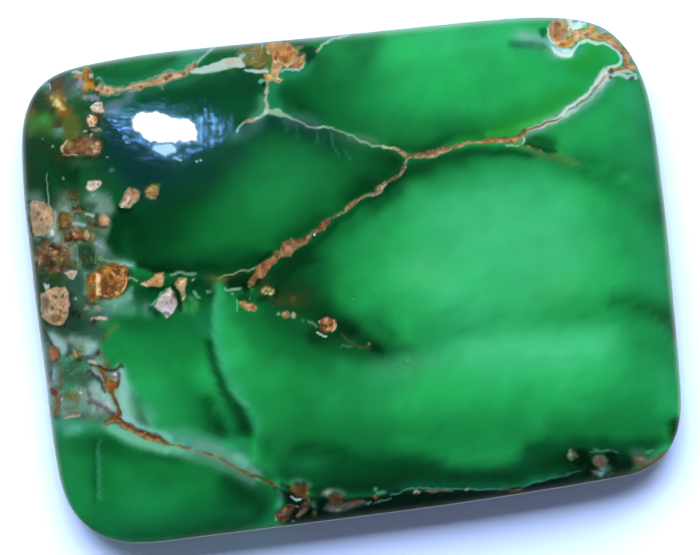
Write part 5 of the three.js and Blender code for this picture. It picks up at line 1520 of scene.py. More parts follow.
# ---------------------------------------------------------------------------
# Shape. Millimetres here, metres in the mesh.
# ---------------------------------------------------------------------------
HEIGHT = 5.6
BEVEL_INSET = 0.5
BEVEL_TOP = 0.42
GIRDLE_LOW = 0.7
GIRDLE_HIGH = 1.15
DOME_PLAN = 2.5
ROUNDING = 0.55
WAVES = 40
OUTLINE = np.array([
    [12.0, -0.01], [12.0, 2.12], [11.97, 4.05], [11.87, 5.43], [11.64, 6.41], [11.32, 7.18],
    [10.93, 7.76], [10.46, 8.19], [9.84, 8.49], [9.01, 8.72], [7.78, 8.89], [6.07, 8.97],
    [3.95, 9.01], [1.76, 9.04], [-0.4, 9.08], [-2.6, 9.13], [-4.81, 9.17], [-6.77, 9.17],
    [-8.49, 9.08], [-9.63, 8.95], [-10.34, 8.76], [-10.85, 8.46], [-11.24, 8.04], [-11.54, 7.51],
    [-11.75, 6.79], [-11.89, 5.69], [-11.98, 4.08], [-11.99, 2.0], [-11.99, -0.09], [-11.95, -2.21],
    [-11.95, -4.32], [-11.89, -5.91], [-11.76, -6.91], [-11.51, -7.61], [-11.16, -8.14], [-10.71, -8.57],
    [-10.16, -8.88], [-9.47, -9.08], [-8.51, -9.17], [-6.84, -9.16], [-4.74, -9.14], [-2.61, -9.12],
    [-0.44, -9.09], [1.73, -9.06], [3.84, -9.0], [6.05, -8.91], [8.06, -8.81], [9.44, -8.71],
    [10.19, -8.55], [10.73, -8.28], [11.13, -7.9], [11.45, -7.4], [11.68, -6.76], [11.81, -5.85],
    [11.88, -4.29], [11.94, -2.14],
])


def outline_waves():
    """The outline's distance from the middle, by angle, as a sum of waves."""
    count = len(OUTLINE)
    t = np.arange(5760) / 5760 * count
    i = np.floor(t).astype(int)
    f = (t - i)[:, None]
    p0, p1, p2, p3 = (OUTLINE[(i + k) % count] for k in (-1, 0, 1, 2))
    c = ((2 * f**3 - 3 * f**2 + 1) * p1 + (f**3 - 2 * f**2 + f) * 0.5 * (p2 - p0)
         + (-2 * f**3 + 3 * f**2) * p2 + (f**3 - f**2) * 0.5 * (p3 - p1))
    angle = np.arctan2(c[:, 1], c[:, 0]) % (2 * np.pi)
    reach = np.hypot(c[:, 0], c[:, 1])
    order = np.argsort(angle)
    angle, reach = angle[order], reach[order]
    grid = 2 * np.pi * np.arange(1440) / 1440
    r = np.interp(grid, np.r_[angle - 2 * np.pi, angle, angle + 2 * np.pi], np.r_[reach, reach, reach])
    a = [(r * np.cos(n * grid)).mean() * (2 if n else 1) for n in range(WAVES + 1)]
    b = [(r * np.sin(n * grid)).mean() * (2 if n else 1) for n in range(WAVES + 1)]
    return a, b


WAVE_A, WAVE_B = outline_waves()


def level_reach(angle, s):
    """How far out the level line s lies at this angle."""
    c1, s1 = np.cos(angle), np.sin(angle)
    cn, sn = np.ones_like(angle), np.zeros_like(angle)
    fade = np.maximum(s, 1e-9) ** ROUNDING
    power = np.ones_like(angle)
    r = np.zeros_like(angle)
    for n in range(WAVES + 1):
        if n > 2:
            power = power * fade
        r = r + power * (WAVE_A[n] * cn + WAVE_B[n] * sn)
        cn, sn = cn * c1 - sn * s1, sn * c1 + cn * s1
    return s * r


# The dome's section: share of the way out, by share of the way along the curve.
_turn = np.linspace(0, np.pi / 2, 4001)
_s = np.sin(_turn) ** (2 / DOME_PLAN)
_z = GIRDLE_HIGH + (HEIGHT - GIRDLE_HIGH) * np.cos(_turn)
_arc = np.r_[0, np.cumsum(np.hypot(np.diff(_s) * 10.3, np.diff(_z)))]
_arc /= _arc[-1]


def square_to_angle(u, v):
    t = np.maximum(np.abs(u), np.abs(v))
    safe = np.maximum(t, 1e-9)
    return t, np.arctan2(9.12 * v / safe, 12.0 * u / safe)


def dome(u, v):
    """Point of the dome for a place in the square from -1 to 1."""
    t, angle = square_to_angle(u, v)
    turn = np.interp(t, _arc, _turn)
    s = np.sin(turn) ** (2 / DOME_PLAN)
    r = level_reach(angle, s)
    return np.stack([r * np.cos(angle), r * np.sin(angle), GIRDLE_HIGH + (HEIGHT - GIRDLE_HIGH) * np.cos(turn)], axis=-1)


# ---------------------------------------------------------------------------
# Camera: straight down on the stone, which lies turned a little to the left.
# ---------------------------------------------------------------------------
TURN = math.radians(6.6)
UNIT = 0.03778  # mm of the girdle plane to one unit of the drawing
EYE = np.array([-0.0998, -0.085, 300.9])
PLANE = 0.9


def to_drawing(p):
    """Where a point of the stone falls on the drawing plane."""
    k = UNIT * (EYE[2] - p[:, 2]) / (EYE[2] - PLANE)
    dx, dy = p[:, 0] - EYE[0], p[:, 1] - EYE[1]
    c, s = math.cos(TURN), math.sin(TURN)
    return 350 + (dx * c - dy * s) / k, 277.5 - (dx * s + dy * c) / k


def from_drawing(x, y, z):
    k = UNIT * (EYE[2] - z) / (EYE[2] - PLANE)
    a, b = (x - 350) * k, (277.5 - y) * k
    c, s = math.cos(TURN), math.sin(TURN)
    return np.array([EYE[0] + a * c + b * s, EYE[1] - a * s + b * c, z])


camera_data = bpy.data.cameras.new("camera")
camera_data.sensor_width = 36.0
camera_data.lens = 36.0 * (EYE[2] - PLANE) / (700 * UNIT)
camera_data.clip_start = 0.01
camera_data.clip_end = 20.0
camera = bpy.data.objects.new("camera", camera_data)
camera.location = EYE * 1e-3
camera.rotation_euler = (0.0, 0.0, -TURN)
bpy.context.scene.collection.objects.link(camera)
bpy.context.scene.camera = camera

# ---------------------------------------------------------------------------
# Mesh. The dome is a net of squares that are small where the drawing is fine
# and large where it is plain. Below the rim it goes on in rings to the back.
# ---------------------------------------------------------------------------
NX, NY = 80, 60          # the coarsest squares
LEVELS = 3               # each level halves them
FINE = 2**LEVELS
GX, GY = NX * FINE, NY * FINE


def lattice_points():
    gu, gv = np.meshgrid(np.linspace(-1, 1, GX + 1), np.linspace(-1, 1, GY + 1))
    # A little closer together towards the left, where the ground is broken.
    u = gu - 0.10 * (1 - gu**2)
    p = dome(u.ravel(), gv.ravel())
    return p.reshape(GY + 1, GX + 1, 3)


def split_net(error, edge_level, tolerance):
    """Levels of a balanced net: error[k] says how far each square of level k is from flat colour."""
    levels = np.zeros((NY, NX), dtype=int)
    net = [np.ones((NY, NX), dtype=bool)]
    split = []
    for k in range(LEVELS):
        here = net[k] & (error[k] > tolerance)
        if k < edge_level:
            rim = np.zeros_like(here)
            rim[0], rim[-1], rim[:, 0], rim[:, -1] = True, True, True, True
            here |= net[k] & rim
        split.append(here)
        net.append(np.repeat(np.repeat(here, 2, 0), 2, 1))
    # Balance: a square is split if a neighbour is split twice.
    for k in range(LEVELS - 2, -1, -1):
        fine = split[k + 1]
        need = fine.reshape(fine.shape[0] // 2, 2, fine.shape[1] // 2, 2).any(axis=(1, 3))
        grown = need.copy()
        grown[1:] |= need[:-1]
        grown[:-1] |= need[1:]
        grown[:, 1:] |= need[:, :-1]
        grown[:, :-1] |= need[:, 1:]
        diagonal = grown.copy()
        diagonal[1:] |= grown[:-1]
        diagonal[:-1] |= grown[1:]
        split[k] |= grown
    alive = [np.ones((NY, NX), dtype=bool)]
    for k in range(LEVELS):
        split[k] &= alive[k]
        alive.append(np.repeat(np.repeat(split[k], 2, 0), 2, 1))
    leaves = [alive[k] & ~split[k] for k in range(LEVELS)] + [alive[LEVELS]]
    return leaves


def net_faces(leaves):
    """Faces of the net as runs of lattice points, counter-clockwise."""
    size_at = np.zeros((GY, GX), dtype=int)
    for k, leaf in enumerate(leaves):
        size = FINE >> k
        size_at[np.repeat(np.repeat(leaf, size, 0), size, 1)] = size
    corner = np.zeros((GY + 1, GX + 1), dtype=bool)
    for k, leaf in enumerate(leaves):
        size = FINE >> k
        j, i = np.nonzero(leaf)
        for dj in (0, size):
            for di in (0, size):
                corner[j * size + dj, i * size + di] = True
    row = GX + 1
    faces = []
    for k, leaf in enumerate(leaves):
        size = FINE >> k
        half = size // 2
        j, i = np.nonzero(leaf)
        j, i = j * size, i * size
        if half == 0:
            a = j * row + i
            faces += np.stack([a, a + 1, a + 1 + row, a + row], 1).tolist()
            continue
        south, north = corner[j, i + half], corner[j + size, i + half]
        west, east = corner[j + half, i], corner[j + half, i + size]
        plain = ~(south | north | west | east)
        a = (j * row + i)[plain]
        faces += np.stack([a, a + size, a + size + size * row, a + size * row], 1).tolist()
        for jj, ii, s, e, n, w in zip(j[~plain], i[~plain], south[~plain], east[~plain], north[~plain], west[~plain]):
            ring = [(jj, ii)]
            if s:
                ring.append((jj, ii + half))
            ring.append((jj, ii + size))
            if e:
                ring.append((jj + half, ii + size))
            ring.append((jj + size, ii + size))
            if n:
                ring.append((jj + size, ii + half))
            ring.append((jj + size, ii))
            if w:
                ring.append((jj + half, ii))
            middle = (jj + half) * row + ii + half
            ring = [b * row + c for b, c in ring]
            faces += [[middle, p, q] for p, q in zip(ring, ring[1:] + ring[:1])]
    return faces


def flatness(values):
    """For each level, the largest distance of the values from a square's own blend of its corners."""
    out = []
    for k in range(LEVELS):
        size = FINE >> k
        ny, nx = GY // size, GX // size
        worst = np.zeros((ny, nx))
        c00, c10 = values[:-1:size, :-1:size][:ny, :nx], values[:-1:size, size::size][:ny, :nx]
        c01, c11 = values[size::size, :-1:size][:ny, :nx], values[size::size, size::size][:ny, :nx]
        for dj in range(size + 1):
            for di in range(size + 1):
                f, g = di / size, dj / size
                blend = (c00 * (1 - f) + c10 * f) * (1 - g) + (c01 * (1 - f) + c11 * f) * g
                v = values[dj:dj + (ny - 1) * size + 1:size, di:di + (nx - 1) * size + 1:size]
                worst = np.maximum(worst, np.abs(v - blend).max(axis=2))
        out.append(worst)
    return out


def undo_scene_light(rgb, x, y, matrix):
    """Base colour with painted light and shade that cancel the scene's lights: darker at the back of the stone, where
    the light is stronger, and lighter towards the front edge and the right end, where it is weaker; and warmer on the
    rock, a painted correction against the blue of the room, which the duller rock reflects more."""
    rgb = np.maximum(rgb + matrix[:, None] * np.array([0.012, -0.012, -0.042]), 0.35 * rgb)
    share = np.ones(len(rgb))
    for place, knots in ((y, LIGHT_UNDO_Y), (x, LIGHT_UNDO_X), (y + 0.14 * x, LIGHT_UNDO_FRONT)):
        share *= np.interp(place, *np.array(knots).T)
    return np.minimum(rgb * share[:, None], 0.85)


top = lattice_points()
tx_, ty_ = to_drawing(top.reshape(-1, 3))
colour, matrix, chalk = draw(tx_, ty_)
shape2 = (GY + 1, GX + 1)
colour_g = colour.reshape(*shape2, 3)

# Normals of the lattice, for the slight relief.
du = np.gradient(top, axis=1)
dv = np.gradient(top, axis=0)
normal = np.cross(du, dv)
normal /= np.linalg.norm(normal, axis=2, keepdims=True) + 1e-12

# Relief: the rock stands a hair below the polish, and is pitted.
pits = step(0.35, 0.75, noise(tx_, ty_, 4.3, 63)) + 0.5 * step(0.4, 0.8, noise(tx_, ty_, 6.5, 71))
relief = -0.016 * matrix - 0.022 * matrix * pits + 0.006 * matrix * noise(tx_, ty_, 2.9, 62) - 0.004 * chalk
relief = relief.reshape(shape2)
rim_fade = np.ones(shape2)
rim_fade[:2], rim_fade[-2:], rim_fade[:, :2], rim_fade[:, -2:] = 0, 0, 0, 0
smooth_top = top
top = top + normal * (relief * rim_fade)[..., None]

measure = np.concatenate([colour_g, 0.5 * matrix.reshape(*shape2, 1), 6.0 * relief[..., None]], axis=2)
leaves = split_net(flatness(measure), 2, TOLERANCE)
top_faces = net_faces(leaves)

points = [top.reshape(-1, 3)]
faces = list(top_faces)
zone_of_face = [0] * len(top_faces)

# Rim: the lattice points on the edge of the square, counter-clockwise, that are in use.
row = GX + 1
rim = ([i for i in range(GX)] + [j * row + GX for j in range(GY)]
       + [GY * row + i for i in range(GX, 0, -1)] + [j * row for j in range(GY, 0, -1)])
used = np.zeros((GY + 1) * (GX + 1), dtype=bool)
used[np.array([k for f in top_faces for k in f])] = True
rim = np.array([k for k in rim if used[k]])
rim_xyz = top.reshape(-1, 3)[rim]
rim_angle = np.arctan2(rim_xyz[:, 1], rim_xyz[:, 0])
rim_reach = level_reach(rim_angle, np.ones_like(rim_angle))


def ring(inset, z):
    r = rim_reach - inset
    return np.stack([r * np.cos(rim_angle), r * np.sin(rim_angle), np.full_like(r, z)], 1)


WALL = [(0.0, 0.98), (0.0, 0.84), (0.0, GIRDLE_LOW), (0.02, 0.56), (0.07, BEVEL_TOP), (0.21, 0.28), (0.355, 0.14), (BEVEL_INSET, 0.0)]
count = len(rim)
start = (GY + 1) * (GX + 1)
above = rim
base_index = start
for level, (inset, z) in enumerate(WALL):
    points.append(ring(inset, z))
    below = np.arange(count) + base_index
    base_index += count
    nxt = np.roll(np.arange(count), -1)
    faces += np.stack([below, below[nxt], above[nxt], above], 1).tolist()
    zone_of_face += [1] * count
    above = below

# Back: the same kind of net, seen from below, joined to the last ring.
back = dome(*[a.ravel() for a in np.meshgrid(np.linspace(-1, 1, GX + 1), np.linspace(-1, 1, GY + 1))])
back[:, 2] = 0.0
gu, gv = np.meshgrid(np.linspace(-1, 1, GX + 1), np.linspace(-1, 1, GY + 1))
gu = gu - 0.10 * (1 - gu**2)
t_, angle_ = square_to_angle(gu.ravel(), gv.ravel())
edge_reach = level_reach(angle_, np.ones_like(angle_)) - BEVEL_INSET
back = np.stack([t_ * edge_reach * np.cos(angle_), t_ * edge_reach * np.sin(angle_), np.zeros_like(t_)], 1)


def below_surface(p, depth):
    """The drawing as it is met at a depth under the girdle: the veins lean and wander."""
    x, y = to_drawing(p)
    lean = np.clip(depth / 1.15, 0, 1)
    wander = 14 * lean * noise(x, y, 70, 81) + 5 * lean * noise(x, y, 24, 83)
    wander_y = 14 * lean * noise(x, y, 70, 82) + 5 * lean * noise(x, y, 24, 84)
    return x - 9 * lean + wander, y + 12 * lean + wander_y


bx, by = below_surface(back, np.full(len(back), 1.15))
back_colour, back_matrix, back_chalk = draw(bx, by)
back_measure = np.concatenate([back_colour.reshape(*shape2, 3), 0.5 * back_matrix.reshape(*shape2, 1)], axis=2)
back_leaves = split_net(flatness(back_measure), 2, BACK_TOLERANCE)
back_faces = net_faces(back_leaves)
offset = base_index
points.append(back)
remap = np.arange(len(back)) + offset
remap[rim] = above
faces += [[int(remap[k]) for k in reversed(f)] for f in back_faces]
zone_of_face += [2] * len(back_faces)

wall_points = np.concatenate(points[1:-1])
wx, wy = below_surface(wall_points, np.maximum(GIRDLE_HIGH - wall_points[:, 2], 0) * 0.999)
wall_colour, wall_matrix, wall_chalk = draw(wx, wy)
all_points = np.concatenate(points)
all_colour = np.concatenate([colour, wall_colour, back_colour])
all_matrix = np.concatenate([matrix, wall_matrix, back_matrix])
all_chalk = np.concatenate([chalk, wall_chalk, back_chalk])

# Only the points in use are kept.
flat = np.array([k for f in faces for k in f])
keep = np.unique(flat)
renumber = np.full(len(all_points), -1)
renumber[keep] = np.arange(len(keep))
mesh_points = np.clip(all_points[keep] * 1e-3, CAD_BOX[0], CAD_BOX[1])
mesh_faces = [[int(renumber[k]) for k in f] for f in faces]
mesh_colour, mesh_matrix, mesh_chalk = all_colour[keep], all_matrix[keep], all_chalk[keep]

mesh = bpy.data.meshes.new("variscite_cabochon")
mesh.from_pydata(mesh_points.tolist(), [], mesh_faces)
mesh.update()
mesh.polygons.foreach_set("use_smooth", np.ones(len(mesh.polygons), dtype=bool))


def linear(c):
    return np.where(c <= 0.04045, c / 12.92, ((c + 0.055) / 1.055) ** 2.4)


tone_layer = mesh.attributes.new("tone", "FLOAT_COLOR", "POINT")
tone_layer.data.foreach_set("color", np.concatenate([undo_scene_light(linear(mesh_colour), *to_drawing(mesh_points * 1e3), mesh_matrix), np.ones((len(keep), 1))], 1).astype(np.float32).ravel())
for name, values in (("matrix", mesh_matrix), ("chalk", mesh_chalk)):
    layer = mesh.attributes.new(name, "FLOAT", "POINT")
    layer.data.foreach_set("value", values.astype(np.float32))

# Flat layout of the surface: the dome large, the back and the girdle small.
uv = mesh.uv_layers.new(name="OFBake")
lattice_u = np.tile(np.linspace(0, 1, GX + 1), GY + 1)
lattice_v = np.repeat(np.linspace(0, 1, GY + 1), GX + 1)
arc = np.r_[0, np.cumsum(np.linalg.norm(np.diff(np.vstack([rim_xyz, rim_xyz[:1]])[:, :2], axis=0), axis=1))]
arc_total = arc[-1]
wall_depth = np.array([0.0, 0.17, 0.31, 0.45, 0.60, 0.75, 0.95, 1.15, 1.35]) / 1.35
coords = []
place_in_rim = {int(k): n for n, k in enumerate(rim)}
for f, zone in zip(faces, zone_of_face):
    if zone == 0:
        coords += [(0.004 + 0.992 * lattice_u[k], 0.256 + 0.740 * lattice_v[k]) for k in f]
    elif zone == 2:
        for k in f:
            q = k - offset if k >= offset else None
            if q is None:
                q = int(rim[(k - start) % count])
            coords.append((0.322 - 0.316 * lattice_u[q], 0.006 + 0.237 * lattice_v[q]))
    else:
        marks = []
        for k in f:
            if k < start:
                marks.append((place_in_rim[k], 0))
            else:
                marks.append(((k - start) % count, (k - start) // count + 1))
        low = min(m for m, _ in marks)
        wraps = low == 0 and max(m for m, _ in marks) > 2
        base_m = count - 1 if wraps else low
        strip = min(3, int(4 * arc[base_m] / arc_total))
        for m, d in marks:
            a = arc[count] if (wraps and m == 0) else arc[m]
            along = a / arc_total * 4 - strip
            coords.append((0.34 + 0.64 * along, 0.006 + 0.0605 * strip + 0.052 * (1 - wall_depth[d])))
uv.data.foreach_set("uv", np.array(coords, dtype=np.float32).ravel())
mesh.validate()

stone = bpy.data.objects.new("variscite_cabochon", mesh)
bpy.context.scene.collection.objects.link(stone)

# ---------------------------------------------------------------------------
# Material
# ---------------------------------------------------------------------------
mat = bpy.data.materials.new("polished_variscite")
mat.use_nodes = True
nodes, links = mat.node_tree.nodes, mat.node_tree.links
nodes.clear()


def node(kind, **props):
    n = nodes.new(kind)
    inputs = props.pop("inputs", {})
    for key, value in props.items():
        setattr(n, key, value)
    for key, value in inputs.items():
        if hasattr(value, "is_output") or isinstance(value, bpy.types.NodeSocket):
            links.new(value, n.inputs[key])
        else:
            n.inputs[key].default_value = value
    return n


def maths(op, a, b=0.0, c=None, clamp=False):
    n = node("ShaderNodeMath", operation=op, use_clamp=clamp, inputs={0: a, 1: b})
    if c is not None:
        if isinstance(c, bpy.types.NodeSocket):
            links.new(c, n.inputs[2])
        else:
            n.inputs[2].default_value = c
    return n.outputs[0]


def mix(factor, a, b, blend="MIX"):
    n = node("ShaderNodeMix", data_type="RGBA", blend_type=blend)
    for key, value in ((0, factor), (6, a), (7, b)):
        if isinstance(value, bpy.types.NodeSocket):
            links.new(value, n.inputs[key])
        elif key == 0:
            n.inputs[key].default_value = value
        else:
            n.inputs[key].default_value = (*value, 1.0)
    return n.outputs[2]


def ramp(value, lo, hi):
    n = node("ShaderNodeMapRange", interpolation_type="SMOOTHSTEP", inputs={0: value, 1: lo, 2: hi, 3: 0.0, 4: 1.0})
    return n.outputs[0]


place = node("ShaderNodeTexCoord").outputs["Object"]
tone = node("ShaderNodeAttribute", attribute_name="tone").outputs["Color"]
rock = node("ShaderNodeAttribute", attribute_name="matrix").outputs["Fac"]
chalky = node("ShaderNodeAttribute", attribute_name="chalk").outputs["Fac"]


def grain(scale, detail=2.0, rough=0.5, stretch=(1, 1, 1), seed=0.0):
    m = node("ShaderNodeMapping", inputs={"Vector": place, "Scale": stretch, "Location": (seed, seed * 0.7, seed * 1.3)})
    n = node("ShaderNodeTexNoise", noise_dimensions="3D", inputs={"Vector": m.outputs[0], "Scale": scale, "Detail": detail, "Roughness": rough})
    return n.outputs["Fac"]


# Clouds and silky threads in the green, and grit in the rock.
cloud = grain(1400, 3, 0.55)
thread = grain(900, 2, 0.5, (1.0, 3.5, 1.0), 3.1)
grit = grain(11000, 3, 0.6, seed=1.7)
coarse = grain(4200, 2, 0.5, seed=2.3)
green_light = maths("ADD", maths("MULTIPLY_ADD", cloud, 0.12, 0.94), maths("MULTIPLY_ADD", thread, 0.08, -0.04))
rock_light = maths("ADD", maths("MULTIPLY_ADD", grit, 0.8, 0.58), maths("MULTIPLY_ADD", coarse, 0.4, -0.18))
light = maths("ADD", maths("MULTIPLY", green_light, maths("SUBTRACT", 1.0, rock)), maths("MULTIPLY", rock_light, rock))
light_rgb = node("ShaderNodeCombineColor", inputs={0: light, 1: light, 2: light}).outputs[0]
body = mix(1.0, tone, light_rgb, "MULTIPLY")
# Dark specks and pale grains in the rock.
speck = maths("MULTIPLY", ramp(grain(7500, 1, 0.5, seed=5.1), 0.60, 0.70), rock)
body = mix(maths("MULTIPLY", speck, 0.42), body, (0.030, 0.017, 0.008))
fleck = maths("MULTIPLY", ramp(grain(9000, 1, 0.5, seed=7.9), 0.62, 0.72), rock)
body = mix(maths("MULTIPLY", fleck, 0.34), body, (0.66, 0.50, 0.33))

# Polish: glassy on the green, duller on the rock and the pale chert. The back
# and the bevel are only ground flat.
normal_z = node("ShaderNodeSeparateXYZ", inputs={0: node("ShaderNodeNewGeometry").outputs["Normal"]}).outputs[2]
height_z = node("ShaderNodeSeparateXYZ", inputs={0: place}).outputs[2]
ground = maths("SUBTRACT", 1.0, ramp(height_z, 0.00036, 0.00050))
rough = maths("MULTIPLY_ADD", grain(600, 2, 0.5, seed=9.3), 0.03, 0.012)
rough = maths("ADD", rough, maths("MULTIPLY", rock, maths("MULTIPLY_ADD", coarse, 0.30, 0.22)))
rough = maths("ADD", rough, maths("MULTIPLY", chalky, 0.08))
rough = maths("ADD", rough, maths("MULTIPLY", ground, 0.22), clamp=True)

# Fine relief: faint ripples of hand polishing, pits in the rock, saw lines on the back.
ripple = grain(420, 1, 0.4, seed=4.4)
fine = grain(5200, 1, 0.4, seed=6.6)
pitting = maths("SUBTRACT", grit, maths("MULTIPLY", speck, 0.8))
saw = node("ShaderNodeTexWave", wave_type="BANDS", bands_direction="DIAGONAL",
           inputs={"Vector": place, "Scale": 3800.0, "Distortion": 1.5, "Detail": 2.0, "Detail Scale": 0.6}).outputs["Fac"]
height = maths("ADD", maths("MULTIPLY", ripple, 0.0000015), maths("MULTIPLY", fine, 0.00000012))
height = maths("ADD", height, maths("MULTIPLY", maths("MULTIPLY", pitting, rock), 0.000012))
height = maths("ADD", height, maths("MULTIPLY", maths("MULTIPLY", saw, ground), 0.0000010))
bump = node("ShaderNodeBump", inputs={"Strength": 1.0, "Distance": 1.0, "Height": height})

shader = node("ShaderNodeBsdfPrincipled", inputs={
    "Base Color": body, "Roughness": rough, "IOR": 1.57, "Normal": bump.outputs[0],
    "Coat Weight": 0.06, "Coat Roughness": 0.20, "Coat IOR": 1.5})
out = node("ShaderNodeOutputMaterial", inputs={"Surface": shader.outputs[0]})
mesh.materials.append(mat)

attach(stone, "root")
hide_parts("cabochon")

# ---------------------------------------------------------------------------
# Floor, backdrop, and the dim room that the polish mirrors
# ---------------------------------------------------------------------------
def plain_material(name, colour, strength=None):
    m = bpy.data.materials.new(name)
    m.use_nodes = True
    tree = m.node_tree
    if strength is None:
        b = tree.nodes["Principled BSDF"]
        b.inputs["Base Color"].default_value = (*colour, 1)
        b.inputs["Roughness"].default_value = 0.7
        b.inputs["Specular IOR Level"].default_value = 0.1
        return m
    tree.nodes.clear()
    e = tree.nodes.new("ShaderNodeEmission")
    e.inputs[0].default_value = (*colour, 1)
    e.inputs[1].default_value = strength
    o = tree.nodes.new("ShaderNodeOutputMaterial")
    tree.links.new(e.outputs[0], o.inputs[0])
    return m


def only_seen(ob, camera=False, glossy=False):
    ob.visible_camera = camera
    ob.visible_glossy = glossy
    ob.visible_diffuse = False
    ob.visible_transmission = False
    ob.visible_volume_scatter = False
    ob.visible_shadow = False


def ball(name, radius):
    import bmesh
    bm = bmesh.new()
    bmesh.ops.create_icosphere(bm, subdivisions=4, radius=radius)
    for f in bm.faces:
        f.normal_flip()
    m = bpy.data.meshes.new(name)
    bm.to_mesh(m)
    bm.free()
    ob = bpy.data.objects.new(name, m)
    bpy.context.scene.collection.objects.link(ob)
    return ob


floor_mesh = bpy.data.meshes.new("floor")
R = 0.16
floor_mesh.from_pydata([(R * math.cos(math.radians(3 * k)), R * math.sin(math.radians(3 * k)), 0) for k in range(120)], [], [tuple(range(120))])
floor_mesh.update()
floor = bpy.data.objects.new("floor", floor_mesh)
bpy.context.scene.collection.objects.link(floor)
floor_mesh.materials.append(plain_material("pale_floor", (0.88, 0.88, 0.88)))
floor.visible_glossy = False

backdrop = ball("backdrop", 1.0)
backdrop.data.materials.append(plain_material("pale_backdrop", (1.0, 1.0, 1.0), 1.0))
only_seen(backdrop, camera=True)

room = ball("room", 3.0)
room_mat = bpy.data.materials.new("dim_room")
room_mat.use_nodes = True
rt = room_mat.node_tree
rt.nodes.clear()


def rnode(kind, inputs=None, **props):
    n = rt.nodes.new(kind)
    for key, value in props.items():
        setattr(n, key, value)
    for key, value in (inputs or {}).items():
        if isinstance(value, bpy.types.NodeSocket):
            rt.links.new(value, n.inputs[key])
        else:
            n.inputs[key].default_value = value
    return n.outputs[0]


def rramp(value, a, b, c, d):
    return rnode("ShaderNodeMapRange", {0: value, 1: a, 2: b, 3: c, 4: d}, interpolation_type="SMOOTHSTEP")


rsplit = rt.nodes.new("ShaderNodeSeparateXYZ")
rt.links.new(rt.nodes.new("ShaderNodeTexCoord").outputs["Object"], rsplit.inputs[0])
# Black overhead, a dim wall round the horizon, and the pale floor close by.
overhead = rramp(rsplit.outputs[2], 0.0, 1.8, 0.07, 0.0)
near_floor = rramp(rsplit.outputs[2], -1.7, -2.9, 0.0, 0.9)
front = rramp(rsplit.outputs[1], -1.2, 0.2, 0.10, 1.0)
amount = rnode("ShaderNodeMath", {0: rnode("ShaderNodeMath", {0: overhead, 1: near_floor}, operation="ADD"), 1: front}, operation="MULTIPLY")
emission = rt.nodes.new("ShaderNodeEmission")
emission.inputs[0].default_value = (0.74, 0.88, 1.0, 1)
rt.links.new(amount, emission.inputs[1])
rt.links.new(emission.outputs[0], rt.nodes.new("ShaderNodeOutputMaterial").inputs[0])
room.data.materials.append(room_mat)
only_seen(room, glossy=True)

# ---------------------------------------------------------------------------
# Light
# ---------------------------------------------------------------------------
world = bpy.data.worlds.new("studio")
bpy.context.scene.world = world
world.use_nodes = True
sky = world.node_tree.nodes["Background"]
sky.inputs[0].default_value = (*WORLD_COLOUR, 1)
sky.inputs[1].default_value = WORLD_STRENGTH
world.cycles_visibility.glossy = False


def lamp(name, where, target, size, strength, colour, glossy=True, up=None):
    """A rectangle of even brightness: strength is its radiance."""
    data = bpy.data.lights.new(name, "AREA")
    data.shape = "RECTANGLE"
    data.size, data.size_y = size[0] * 1e-3, size[1] * 1e-3
    data.color = colour
    data.energy = strength * math.pi * data.size * data.size_y
    ob = bpy.data.objects.new(name, data)
    z = where - target
    z /= np.linalg.norm(z)
    hint = np.array([0.0, 0.0, 1.0]) if up is None else up
    x = np.cross(hint, z)
    x /= np.linalg.norm(x)
    y = np.cross(z, x)
    m = np.eye(4)
    m[:3, 0], m[:3, 1], m[:3, 2], m[:3, 3] = x, y, z, where * 1e-3
    from mathutils import Matrix
    ob.matrix_world = Matrix(m.tolist())
    bpy.context.scene.collection.objects.link(ob)
    ob.visible_glossy = glossy
    return ob


# The lamp: a screen whose every point stands where the dome mirrors it to the
# drawing plane above, so its bars are as broad and bright as they show there.
LAMP_AT = 480.0  # mm away
LX, LY = np.meshgrid(np.arange(92.0, 244.0, 0.8), np.arange(94.0, 174.0, 0.8))
lamp_rows, lamp_cols = LX.shape
sel = np.nonzero((tx_ > 84) & (tx_ < 252) & (ty_ > 88) & (ty_ < 178))[0]
sel_xy = np.stack([tx_[sel], ty_[sel]], 1)
sel_p, sel_n = smooth_top.reshape(-1, 3)[sel], normal.reshape(-1, 3)[sel]


def local_fit(values):
    """The values as a smooth function of the place on the drawing plane."""
    a, b = (sel_xy[:, 0] - 168) / 80, (sel_xy[:, 1] - 133) / 45
    terms = np.stack([a**i * b**j for i in range(6) for j in range(6 - i)], 1)
    fit = np.linalg.lstsq(terms, values, rcond=None)[0]
    a, b = (LX.ravel() - 168) / 80, (LY.ravel() - 133) / 45
    return np.stack([a**i * b**j for i in range(6) for j in range(6 - i)], 1) @ fit


lamp_p, lamp_n = local_fit(sel_p), local_fit(sel_n)
lamp_n /= np.linalg.norm(lamp_n, axis=1, keepdims=True)
view = EYE - lamp_p
view /= np.linalg.norm(view, axis=1, keepdims=True)
mirror = 2 * (view * lamp_n).sum(1, keepdims=True) * lamp_n - view
lamp_points = lamp_p + mirror * LAMP_AT

